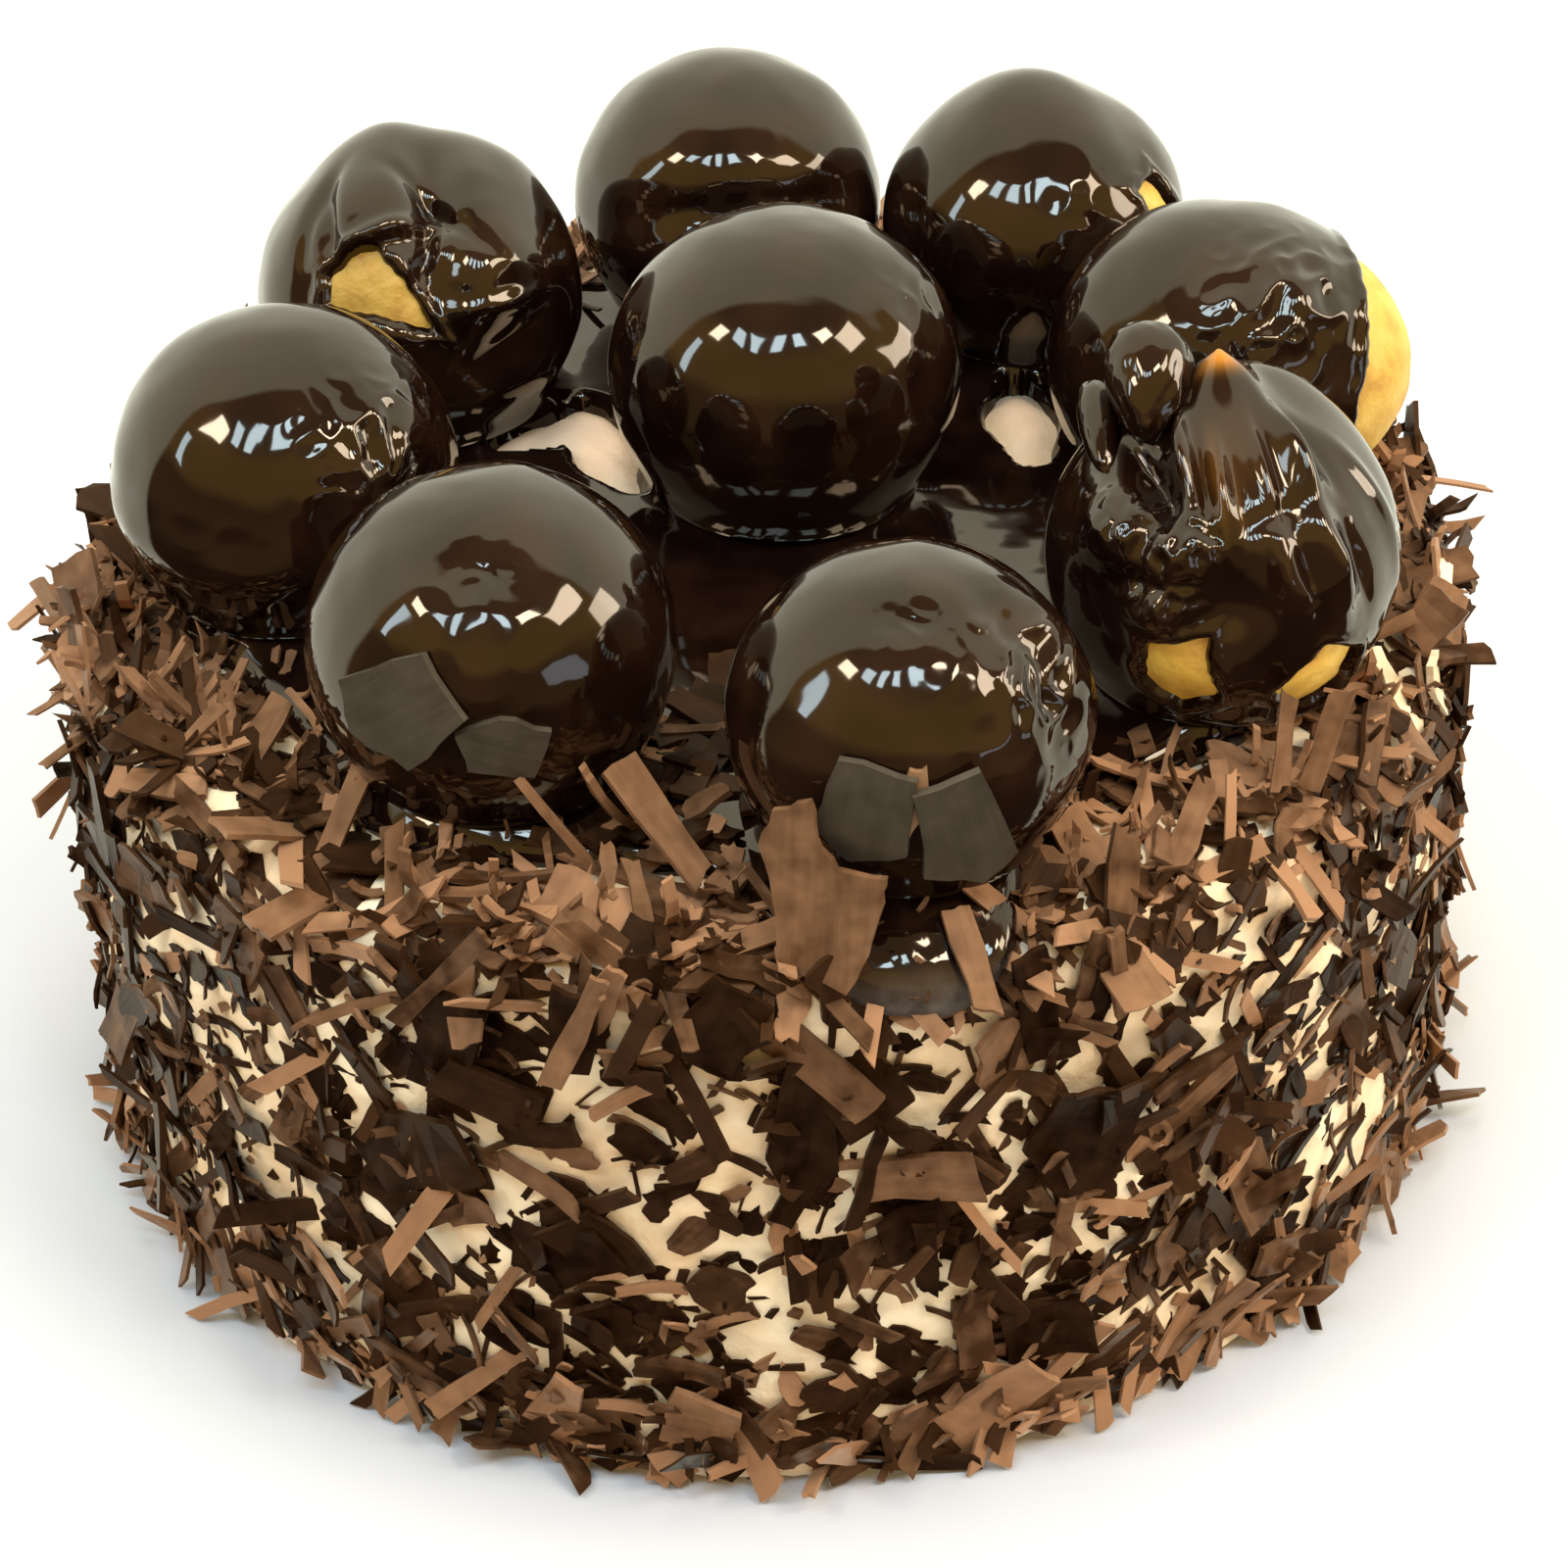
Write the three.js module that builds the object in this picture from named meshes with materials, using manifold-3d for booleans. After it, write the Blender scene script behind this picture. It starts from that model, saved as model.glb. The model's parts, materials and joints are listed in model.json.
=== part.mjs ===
// A profiterole cake: a round cake spread with cream and pressed all over with chocolate flakes, a
// pool of dark chocolate glaze on its top, and nine glazed choux buns that stand in the glaze.
// Millimetres, +Z up. The origin is the middle of the flat base, and -Y is the front.
import * as THREE from "three";
import { mergeVertices } from "three/addons/utils/BufferGeometryUtils.js";
import Module from "manifold-3d";

// The cake under its flakes
const CAKE_RADIUS = 101;
const CAKE_HEIGHT = 90;
const RIM_ROUND = 9;
const FOOT_ROUND = 2;
const CREAM_WAVE = 0.5;
const CAKE_SIDES = 48;
const RIM_STEPS = 4;

// The glaze pool, measured along the cake's surface from the middle of the top
const GLAZE_THICK = 3.2;
const GLAZE_EDGE = 4;
const GLAZE_REACH = 77;
const GLAZE_SKIRT = 9;
const GLAZE_SKIRT_ANGLE = 14;
const DRIP_ANGLE = -80;
const DRIP_WIDTH = 11.5;
const DRIP_LENGTH = 19.5;
const GLAZE_SIDES = 48;
const GLAZE_RINGS = [60, 82, 94, 101];
const GLAZE_EDGE_SHARES = [0.55, 0.9];
const GLAZE_SUNK = 1.5;

// Places where the glaze leaves the cream bare: middle, half sizes and turn in degrees
const BARE_PATCHES = [
  { x: -23.5, y: 26, long: 14, wide: 5.5, turn: 107 },
  { x: -32, y: 29, long: 10, wide: 4.5, turn: 32 },
  { x: 39.5, y: 29.5, long: 12, wide: 5, turn: 97 },
];

// The buns: height and foot depth as shares of each bun's own radius
const BUN_HEIGHT = 0.96;
const BUN_FOOT = 0.84;
const PLAIN_DETAIL = 3;
const FOLDED_DETAIL = 4;
const KNOB_SIDES = 8;
const KNOB_RINGS = 5;
const KNOB_FLARE = 0.25;

// Gap between pieces that touch, and the wider one that loose flakes keep
const GAP = 0.3;
const CLEAR = 0.45;

// Swellings and folds of a bun face out at an azimuth and elevation (degrees, front is -90). They
// run LONG by WIDE degrees, LONG along the heading (0 is level, 90 is up), and rise in millimetres.
const fold = (azimuth, elevation, heading, long, wide, rise) => ({
  azimuth, elevation, heading, long, wide, rise,
});

// Flakes stuck to a bun: where they face, their turn and their size
const stuck = (azimuth, elevation, spin, long, wide) => ({ azimuth, elevation, spin, long, wide });

// A knob that grows out of a bun: where its middle lies and how far out, its half sizes, and the
// azimuth and elevation that it points to
const knob = (azimuth, elevation, out, wide, tall, pointing) => ({
  azimuth, elevation, out, wide, tall, pointing,
});

const BUNS = [
  {
    name: "back", x: -4, y: 67.6, radius: 23.5, flakes: [],
    folds: [fold(-81, 24, 0, 60, 9, -1.8), fold(-81, 6, 0, 60, 10, 0.8)],
  },
  {
    name: "back_right", x: 42.8, y: 58.3, radius: 23.1, flakes: [],
    folds: [fold(100, 78, 0, 22, 22, 1.6), fold(-10, 48, 30, 40, 16, -1)],
  },
  {
    name: "back_left", x: -50.2, y: 40, radius: 24.2, flakes: [],
    folds: [
      fold(-74, 54, 80, 44, 10, -4.8), fold(-136, 52, 60, 34, 22, 1.6), fold(-52, 36, 0, 24, 18, 1.8),
      fold(112, 62, 0, 24, 20, 2.6), fold(32, 46, 0, 22, 18, 1.3), fold(-52, 2, 12, 24, 12, -3.4),
    ],
  },
  {
    name: "right", x: 66.5, y: 16.2, radius: 24.1, flakes: [],
    folds: [fold(-8, 0, 90, 46, 34, 6), fold(-58, 48, 0, 26, 16, 0.9)],
  },
  {
    name: "left", x: -67.3, y: -8.2, radius: 24.6, flakes: [],
    folds: [fold(-36, 30, 60, 22, 12, 1), fold(-108, -6, 0, 70, 9, 1)],
  },
  {
    name: "centre", x: 3.9, y: 13.9, radius: 25.6, flakes: [],
    folds: [fold(90, 88, 0, 40, 40, -1.1), fold(0, 26, 90, 28, 20, 0.8)],
  },
  {
    name: "front_left", x: -36.6, y: -52.9, radius: 25.2,
    flakes: [stuck(-117, 11, 40, 17, 15), stuck(-86, 2, -20, 12, 9)],
    folds: [fold(-91, 59, 0, 12, 10, -1.4), fold(-91, 36, 0, 34, 14, 0.7)],
  },
  {
    name: "front", x: 19.1, y: -71.2, radius: 24.4,
    flakes: [stuck(-105, 3, 80, 15, 13), stuck(-76, -5, 105, 19, 13)],
    folds: [fold(-91, 68, 0, 14, 8, -1.2), fold(-30, 38, 80, 30, 8, -1.6), fold(-10, 30, 90, 34, 16, 1.2)],
  },
  {
    name: "front_right", x: 63.7, y: -34.6, radius: 24.6, flakes: [],
    knobs: [knob(154, 65, 27.2, 6, 9, [86, 29]), knob(168, 47, 25.5, 2.8, 8.4, [92, 15])],
    folds: [
      fold(100, 78, 90, 14, 12, 4.4), fold(-140, 52, 157, 22, 8, -3.4), fold(-130, 64, 135, 18, 7, 1.2),
      fold(-140, 33, 0, 15, 14, 2.8), fold(-110, 34, 0, 12, 12, 2.2), fold(-92, 14, 90, 16, 13, -3),
      fold(-45, 62, 70, 24, 8, 1.8), fold(-60, 24, 92, 20, 13, 1.8), fold(50, 50, 0, 26, 18, 2),
    ],
  },
];

// Chocolate flakes, the largest first: the band they lie in, measured along the cake's surface from
// the middle of the top, their sizes, and how many degrees one end lifts off the cream
const FLAKE_SEED = 4171;
const RIM_BAND = [84, 106];
const SIDE_BAND = [94, 186];
const FLAKE_KINDS = [
  { count: 66, band: SIDE_BAND, corners: 4, long: [12, 20], wide: [7, 12], lift: [3, 13] },
  { count: 26, band: RIM_BAND, corners: 4, long: [10, 18], wide: [3, 7], lift: [8, 40] },
  { count: 52, band: SIDE_BAND, corners: 4, long: [12, 22], wide: [2.6, 4.4], lift: [4, 18] },
  { count: 34, band: SIDE_BAND, corners: 3, long: [7, 12], wide: [5, 8], lift: [8, 34] },
];
const FLAKE_THICK = 1.5;
const FLAKE_BEDDING = 0.4;
const FLAKE_BURIED = 0.25;
const FLAKE_FLOOR = 0.5;
const CORNER_SHIFT = 0.3;
const CORNER_TRIM = [1, 1.56];

// Single large shards: distance along the surface, angle, turn and lift in degrees, and sizes
const SHARD_CORNERS = 5;
const SHARDS = [
  { along: 99, angle: -17, spin: 20, lift: 22, long: 16, wide: 11 },
  { along: 100, angle: -172, spin: 150, lift: 22, long: 16, wide: 11 },
  { along: 107, angle: -95, spin: 40, lift: 8, long: 13, wide: 10 },
  { along: 106, angle: -104, spin: 65, lift: 8, long: 17, wide: 5 },
  { along: 111, angle: -66, spin: 80, lift: 8, long: 20, wide: 4.5 },
  { along: 130, angle: -88, spin: 86, lift: 3, long: 27, wide: 10 },
  { along: 137, angle: -122, spin: 20, lift: 4, long: 22, wide: 13 },
  { along: 137, angle: -67, spin: 70, lift: 4, long: 19, wide: 16 },
  { along: 149, angle: -109, spin: 30, lift: 6, long: 17, wide: 11 },
  { along: 181, angle: -76, spin: 48, lift: 12, long: 24, wide: 10 },
  { along: 180, angle: -97, spin: 76, lift: 14, long: 17, wide: 10 },
  { along: 180, angle: -109, spin: 68, lift: 14, long: 20, wide: 8 },
];

// The largest shard of all stands on the drip and leans back towards the front bun: its lowest
// corner, the way its face looks, and its outline in millimetres sideways and up from that corner
const LEANING_SHARD = { x: 10.3, y: -101.5, z: 88.7, azimuth: -107, elevation: 11.5 };
const LEANING_OUTLINE = [
  [0, 0], [2.4, 5.5], [4.2, 13.5], [4.4, 17.4], [-2.2, 17.6], [-5, 21.5],
  [-6, 27], [-11, 24.8], [-12.8, 19.5], [-10.6, 12], [-9.6, 3.4], [-4.4, 1.4],
];

const CREAM_COLOUR = 0xe8cf9f;
const SHARD_COLOUR = 0x7d5538;
const GLAZE_COLOUR = 0x24120c;
const BUN_COLOUR = 0x2e1a12;

const wasm = await Module();
wasm.setup();

const radians = THREE.MathUtils.degToRad;
const degrees = THREE.MathUtils.radToDeg;

// A draw between 0 and 1 that gives the same series each time
function seededDraw(seed) {
  let state = seed;
  return () => {
    state = (state * 48271) % 2147483647;
    return state / 2147483647;
  };
}

// Evenly spread pairs of numbers between 0 and 1, stepped by the plastic ratio
function evenPair(index) {
  const step = 1 / 1.32471795724;
  return [(0.5 + index * step) % 1, (0.5 + index * step * step) % 1];
}

// A smooth bump of height 1 at zero that fades over WIDTH
function bump(distance, width) {
  return Math.exp(-((distance / width) ** 2));
}

function angleBetween(a, b) {
  return THREE.MathUtils.euclideanModulo(a - b + 180, 360) - 180;
}

// A closed solid from a geometry, with shared vertices merged and empty triangles dropped
function solidOf(geometry) {
  const bare = geometry.index ? geometry.toNonIndexed() : geometry.clone();
  bare.deleteAttribute("normal");
  bare.deleteAttribute("uv");
  const merged = mergeVertices(bare, 1e-4);
  const corners = merged.index.array;
  const kept = [];
  for (let i = 0; i < corners.length; i += 3) {
    const [a, b, c] = corners.slice(i, i + 3);
    if (a !== b && b !== c && c !== a) kept.push(a, b, c);
  }
  const vertProperties = new Float32Array(merged.attributes.position.array);
  const triVerts = new Uint32Array(kept);
  return new wasm.Manifold(new wasm.Mesh({ numProp: 3, vertProperties, triVerts }));
}

function geometryOf(solid) {
  const mesh = solid.getMesh();
  const geometry = new THREE.BufferGeometry();
  geometry.setAttribute("position", new THREE.BufferAttribute(mesh.vertProperties, 3));
  geometry.setIndex(new THREE.BufferAttribute(mesh.triVerts, 1));
  geometry.computeVertexNormals();
  return geometry;
}

// The largest body of a joined solid, without loose scraps and sealed hollows
function mainBody(solid) {
  const bodies = solid.decompose();
  return bodies.reduce((best, body) => (body.volume() > best.volume() ? body : best));
}

// A point of the cake's plain surface, ALONG millimetres from the middle of the top, over the rim
// and down the side, with its outward, level and climbing directions
function cakeSurface(along, angle) {
  const flat = CAKE_RADIUS - RIM_ROUND;
  const bend = THREE.MathUtils.clamp((along - flat) / RIM_ROUND, 0, Math.PI / 2);
  const drop = Math.max(along - flat - (RIM_ROUND * Math.PI) / 2, 0);
  const out = new THREE.Vector3(Math.cos(radians(angle)), Math.sin(radians(angle)), 0);
  const up = new THREE.Vector3(0, 0, 1);
  const point = out.clone().multiplyScalar(Math.min(along, flat) + RIM_ROUND * Math.sin(bend));
  point.z = CAKE_HEIGHT - RIM_ROUND + RIM_ROUND * Math.cos(bend) - drop;
  const normal = out.clone().multiplyScalar(Math.sin(bend)).addScaledVector(up, Math.cos(bend));
  const climb = out.clone().multiplyScalar(-Math.cos(bend)).addScaledVector(up, Math.sin(bend));
  return { point, normal, climb, level: climb.clone().cross(normal) };
}

// Cream body: a turned profile with a rounded rim and a slightly uneven side, all GROW larger
function creamBody(grow) {
  const radius = CAKE_RADIUS + grow;
  const top = CAKE_HEIGHT + grow;
  const profile = [new THREE.Vector2(0, 0), new THREE.Vector2(radius - FOOT_ROUND, 0)];
  for (const share of [0, 0.5, 1]) {
    const height = THREE.MathUtils.lerp(FOOT_ROUND, top - RIM_ROUND, share);
    profile.push(new THREE.Vector2(radius, height));
  }
  for (let step = 1; step <= RIM_STEPS; step += 1) {
    const bend = (step / RIM_STEPS) * (Math.PI / 2);
    const across = radius - RIM_ROUND + RIM_ROUND * Math.cos(bend);
    profile.push(new THREE.Vector2(across, top - RIM_ROUND + RIM_ROUND * Math.sin(bend)));
  }
  profile.push(new THREE.Vector2(0, top));
  const geometry = new THREE.LatheGeometry(profile, CAKE_SIDES);
  geometry.rotateX(Math.PI / 2);
  const position = geometry.attributes.position;
  for (let i = 0; i < position.count; i += 1) {
    const [x, y, z] = [position.getX(i), position.getY(i), position.getZ(i)];
    const turn = Math.atan2(y, x);
    const wave = Math.sin(3 * turn + z / 17) + 0.7 * Math.sin(7 * turn - z / 11);
    const onSide = z > 0.01 && z < CAKE_HEIGHT - RIM_ROUND + 0.5;
    const scale = onSide ? 1 + (CREAM_WAVE * wave) / CAKE_RADIUS : 1;
    position.setXYZ(i, x * scale, y * scale, z);
  }
  return solidOf(geometry);
}

// The outward, level and climbing directions of a ball at an azimuth and elevation in degrees
function ballFacing(azimuth, elevation) {
  const [turn, tip] = [radians(azimuth), radians(elevation)];
  const level = new THREE.Vector3(-Math.sin(turn), Math.cos(turn), 0);
  const normal = new THREE.Vector3(
    Math.cos(tip) * Math.cos(turn), Math.cos(tip) * Math.sin(turn), Math.sin(tip));
  return { normal, level, climb: normal.clone().cross(level) };
}

// How far one swelling or fold moves the skin that faces in a direction
function foldRise({ azimuth, elevation, heading, long, wide, rise }, direction) {
  const { normal, level, climb } = ballFacing(azimuth, elevation);
  if (direction.dot(normal) <= 0) return 0;
  const across = degrees(Math.asin(direction.dot(level)));
  const above = degrees(Math.asin(direction.dot(climb)));
  const [cosine, sine] = [Math.cos(radians(heading)), Math.sin(radians(heading))];
  const run = across * cosine + above * sine;
  const side = above * cosine - across * sine;
  return rise * bump(run, long) * bump(side, wide);
}

// How far a bun's skin is from its centre in a direction: a flattened ball with its folds
function bunReach(bun, direction) {
  const level = Math.hypot(direction.x, direction.y) / bun.radius;
  const upright = direction.z / (bun.radius * BUN_HEIGHT);
  const folds = bun.folds.map((shape) => foldRise(shape, direction));
  return folds.reduce((sum, rise) => sum + rise, 1 / Math.hypot(level, upright));
}

function bunCentre(bun) {
  return new THREE.Vector3(bun.x, bun.y, CAKE_HEIGHT + GAP + BUN_FOOT * bun.radius);
}

// A bun standing on its flat foot, all GROW larger
function bunBody(bun, grow) {
  const detail = bun.folds.length > 2 ? FOLDED_DETAIL : PLAIN_DETAIL;
  const geometry = new THREE.IcosahedronGeometry(1, detail);
  const centre = bunCentre(bun);
  const lowest = -BUN_FOOT * bun.radius - grow;
  const position = geometry.attributes.position;
  const direction = new THREE.Vector3();
  for (let i = 0; i < position.count; i += 1) {
    direction.fromBufferAttribute(position, i).normalize();
    direction.multiplyScalar(bunReach(bun, direction) + grow);
    position.setXYZ(i, direction.x + centre.x, direction.y + centre.y,
      Math.max(direction.z, lowest) + centre.z);
  }
  return solidOf(geometry);
}

// A thin plate of the given outline, bedded a little below z = 0
function plateOf(outline, thick = FLAKE_THICK) {
  const shape = new THREE.Shape(outline.map(([x, y]) => new THREE.Vector2(x, y)));
  const geometry = new THREE.ExtrudeGeometry(shape, { depth: thick, bevelEnabled: false });
  return geometry.translate(0, 0, (FLAKE_THICK - thick) / 2 - FLAKE_BEDDING);
}

// A flake: a plate with a few uneven corners, its length along X, cut by the given draw
function flakePlate(long, wide, corners, draw) {
  const outline = [];
  for (let corner = 0; corner < corners; corner += 1) {
    const turn = (2 * Math.PI * (corner + 0.5 + CORNER_SHIFT * (draw() - 0.5))) / corners;
    const trim = THREE.MathUtils.lerp(...CORNER_TRIM, draw());
    const across = THREE.MathUtils.clamp(trim * Math.cos(turn), -1, 1) * (long / 2);
    const along = THREE.MathUtils.clamp(trim * Math.sin(turn), -1, 1) * (wide / 2);
    outline.push([across, along]);
  }
  return plateOf(outline);
}

// Lays a shape on a surface point, turned by SPIN, with its +X end lifted off the surface
function layPlate(geometry, point, { level, climb, normal }, spin, lift) {
  const place = new THREE.Matrix4().makeBasis(level, climb, normal).setPosition(point);
  place.multiply(new THREE.Matrix4().makeRotationZ(radians(spin)));
  place.multiply(new THREE.Matrix4().makeRotationY(-radians(lift)));
  return geometry.applyMatrix4(place);
}

// A flake on the cake with its lower end in the cream, raised where it would reach below the floor
function plateOnCake({ along, angle, spin, lift, long, wide }, corners, draw) {
  const surface = cakeSurface(along, angle);
  const geometry = flakePlate(long, wide, corners, draw);
  geometry.translate(long * (0.5 - FLAKE_BURIED), 0, 0);
  layPlate(geometry, surface.point, surface, spin, lift);
  geometry.computeBoundingBox();
  const below = Math.max(FLAKE_FLOOR - geometry.boundingBox.min.z, 0);
  return solidOf(geometry.translate(0, 0, below));
}

// A flake stuck flat on a bun
function plateOnBun(bun, { azimuth, elevation, spin, long, wide }, draw) {
  const facing = ballFacing(azimuth, elevation);
  const point = bunCentre(bun).addScaledVector(facing.normal, bunReach(bun, facing.normal));
  const plate = flakePlate(long, wide, SHARD_CORNERS, draw);
  return solidOf(layPlate(plate, point, facing, spin, 0));
}

// A knob of a bun: an egg along the way it points, wider at its free end
function bunKnob(bun, { azimuth, elevation, out, wide, tall, pointing }) {
  const egg = new THREE.SphereGeometry(1, KNOB_SIDES, KNOB_RINGS).rotateX(Math.PI / 2);
  const position = egg.attributes.position;
  for (let i = 0; i < position.count; i += 1) {
    const flare = wide * (1 + KNOB_FLARE * position.getZ(i));
    position.setXYZ(i, flare * position.getX(i), flare * position.getY(i), tall * position.getZ(i));
  }
  const middle = bunCentre(bun).addScaledVector(ballFacing(azimuth, elevation).normal, out);
  return solidOf(layPlate(egg, middle, ballFacing(...pointing), 0, 0));
}

// The leaning shard, clear of the drip and the bun behind it, all GROW thicker
function leaningShard(grow) {
  const { x, y, z, azimuth, elevation } = LEANING_SHARD;
  const plate = plateOf(LEANING_OUTLINE, FLAKE_THICK + 2 * grow);
  return solidOf(layPlate(plate, new THREE.Vector3(x, y, z), ballFacing(azimuth, elevation), 0, 0));
}

// How far the glaze runs along the surface at an angle: round every bun, and down the front
function glazeReach(angle) {
  const fromDrip = angleBetween(angle, DRIP_ANGLE) / DRIP_WIDTH;
  let reach = GLAZE_REACH + DRIP_LENGTH * Math.exp(-(fromDrip ** 4));
  for (const bun of BUNS) {
    if (bun.name === "centre") continue;
    const towards = degrees(Math.atan2(bun.y, bun.x));
    reach += GLAZE_SKIRT * bump(angleBetween(angle, towards), GLAZE_SKIRT_ANGLE);
  }
  return reach;
}

// The angles of the pool's rays, twice as close at the drip
function glazeAngles() {
  const step = 360 / GLAZE_SIDES;
  const angles = Array.from({ length: GLAZE_SIDES }, (_, side) => side * step);
  const nearDrip = (angle) => Math.abs(angleBetween(angle, DRIP_ANGLE)) < 2 * DRIP_WIDTH;
  return angles.flatMap((angle) => (nearDrip(angle) ? [angle, angle + step / 2] : [angle]));
}

// One ray of the pool's skin: [distance along the surface, height over it], from middle to edge
function glazeRay(angle, grow) {
  const reach = glazeReach(angle) + grow;
  const thick = GLAZE_THICK + grow;
  const shoulder = reach - GLAZE_EDGE;
  const ray = GLAZE_RINGS.map((ring) => [Math.min(ring, shoulder), thick]);
  for (const share of GLAZE_EDGE_SHARES) {
    ray.push([shoulder + share * GLAZE_EDGE, thick * Math.sqrt(1 - share * share)]);
  }
  ray.push([reach, -GLAZE_SUNK]);
  return ray;
}

// The pool before it is fitted: its skin, closed below the cake's surface
function glazePool(grow) {
  const points = [];
  const triangle = (...corners) => corners.forEach((corner) => points.push(...corner.toArray()));
  const top = new THREE.Vector3(0, 0, CAKE_HEIGHT + GLAZE_THICK + grow);
  const bottom = new THREE.Vector3(0, 0, CAKE_HEIGHT - GLAZE_SUNK);
  const rays = glazeAngles().map((angle) => glazeRay(angle, grow).map(([along, height]) => {
    const { point, normal } = cakeSurface(along, angle);
    return point.addScaledVector(normal, height);
  }));
  rays.forEach((ray, side) => {
    const next = rays[(side + 1) % rays.length];
    triangle(top, ray[0], next[0]);
    for (let ring = 1; ring < ray.length; ring += 1) {
      triangle(ray[ring - 1], ray[ring], next[ring]);
      triangle(ray[ring - 1], next[ring], next[ring - 1]);
    }
    triangle(bottom, next.at(-1), ray.at(-1));
  });
  const geometry = new THREE.BufferGeometry();
  geometry.setAttribute("position", new THREE.Float32BufferAttribute(points, 3));
  return solidOf(geometry);
}

// A prism through the pool where the cream stays bare
function barePatch({ x, y, long, wide, turn }) {
  const outline = new THREE.Shape().absellipse(0, 0, long, wide, 0, 2 * Math.PI, false, 0);
  const geometry = new THREE.ExtrudeGeometry(outline, {
    depth: 4 * GLAZE_THICK, bevelEnabled: false, curveSegments: 3,
  });
  geometry.rotateZ(radians(turn));
  return solidOf(geometry.translate(x, y, CAKE_HEIGHT - 2 * GLAZE_THICK));
}

// The glaze pool fitted over the cake and round the buns
function glazeBody() {
  let pool = glazePool(0).subtract(creamBody(GAP));
  for (const bun of BUNS) pool = pool.subtract(bunBody(bun, GAP));
  for (const patch of BARE_PATCHES) pool = pool.subtract(barePatch(patch));
  return mainBody(pool);
}

// All flakes of the cake, apart from those that would touch the glaze or a bun
function cakeFlakes() {
  const draw = seededDraw(FLAKE_SEED);
  const between = ([low, high]) => THREE.MathUtils.lerp(low, high, draw());
  const plates = SHARDS.map((shard) => plateOnCake(shard, SHARD_CORNERS, draw));
  let index = 0;
  for (const kind of FLAKE_KINDS) {
    for (let count = 0; count < kind.count; count += 1) {
      const [turn, share] = evenPair(index);
      const flake = {
        along: THREE.MathUtils.lerp(...kind.band, share), angle: 360 * turn, spin: 360 * draw(),
        lift: between(kind.lift), long: between(kind.long), wide: between(kind.wide),
      };
      plates.push(plateOnCake(flake, kind.corners, draw));
      index += 1;
    }
  }
  let keptClear = glazePool(CLEAR).add(leaningShard(CLEAR));
  for (const bun of BUNS) keptClear = keptClear.add(bunBody(bun, CLEAR));
  return plates.filter((plate) => plate.intersect(keptClear).isEmpty());
}

function meshOf(name, solid, color, roughness) {
  const material = new THREE.MeshStandardMaterial({ color, roughness, metalness: 0 });
  const mesh = new THREE.Mesh(geometryOf(solid), material);
  mesh.name = name;
  return mesh;
}

const cake = new THREE.Group();
cake.name = "profiterole_cake";

const flakyCream = wasm.Manifold.union([creamBody(0), ...cakeFlakes()]);
cake.add(meshOf("cake", mainBody(flakyCream), CREAM_COLOUR, 0.6));
cake.add(meshOf("chocolate_glaze", glazeBody(), GLAZE_COLOUR, 0.15));
cake.add(meshOf("chocolate_shard", leaningShard(0), SHARD_COLOUR, 0.5));

const bunDraw = seededDraw(FLAKE_SEED + 1);
for (const bun of BUNS) {
  const flakes = bun.flakes.map((flake) => plateOnBun(bun, flake, bunDraw));
  const knobs = (bun.knobs ?? []).map((shape) => bunKnob(bun, shape));
  const body = wasm.Manifold.union([bunBody(bun, 0), ...knobs, ...flakes]);
  cake.add(meshOf(`profiterole_${bun.name}`, mainBody(body), BUN_COLOUR, 0.12));
}

export default cake;
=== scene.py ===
# %% [markdown]
# # A profiterole cake
# A round cake is spread with cream and pressed all over with chocolate flakes. A pool of dark glaze
# lies on its top, and nine glazed choux buns stand in the glaze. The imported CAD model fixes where
# every piece stands, and this lesson gives each one its fine shape and its finish. Everything is in
# the CAD frame: the origin is the middle of the flat base, +Z is up and the front faces -Y.

# %% Load the frame
import json
import math

import bmesh
import bpy
import numpy as np
from mathutils import Matrix, Vector, noise

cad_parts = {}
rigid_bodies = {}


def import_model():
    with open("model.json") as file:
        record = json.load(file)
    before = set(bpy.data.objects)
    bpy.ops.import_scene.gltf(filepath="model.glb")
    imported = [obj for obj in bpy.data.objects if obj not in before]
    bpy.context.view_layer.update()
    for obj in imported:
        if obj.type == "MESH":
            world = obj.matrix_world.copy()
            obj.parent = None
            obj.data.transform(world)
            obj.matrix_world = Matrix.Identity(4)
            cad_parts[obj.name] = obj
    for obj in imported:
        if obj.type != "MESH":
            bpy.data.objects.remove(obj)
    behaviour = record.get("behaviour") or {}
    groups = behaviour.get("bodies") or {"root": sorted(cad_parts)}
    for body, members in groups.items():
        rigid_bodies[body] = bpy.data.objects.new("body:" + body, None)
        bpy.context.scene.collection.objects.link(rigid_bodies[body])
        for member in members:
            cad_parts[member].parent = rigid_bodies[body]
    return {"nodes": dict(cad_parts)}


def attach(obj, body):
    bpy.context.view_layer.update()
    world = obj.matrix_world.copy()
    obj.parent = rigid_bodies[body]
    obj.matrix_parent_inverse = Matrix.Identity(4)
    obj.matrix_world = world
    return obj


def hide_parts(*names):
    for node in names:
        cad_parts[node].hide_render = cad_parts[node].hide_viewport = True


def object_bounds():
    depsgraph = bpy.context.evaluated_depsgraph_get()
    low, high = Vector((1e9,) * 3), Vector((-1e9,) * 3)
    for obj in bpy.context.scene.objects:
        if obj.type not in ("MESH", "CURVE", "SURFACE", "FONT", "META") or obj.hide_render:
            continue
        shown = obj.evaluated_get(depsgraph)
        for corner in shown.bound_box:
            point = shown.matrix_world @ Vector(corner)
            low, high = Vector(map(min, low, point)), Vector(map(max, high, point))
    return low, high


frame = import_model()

cad_low, cad_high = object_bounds()
cad_size = [round(1000 * side) for side in cad_high - cad_low]
print("CAD nodes:", len(frame["nodes"]), "size in mm:", cad_size)

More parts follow.
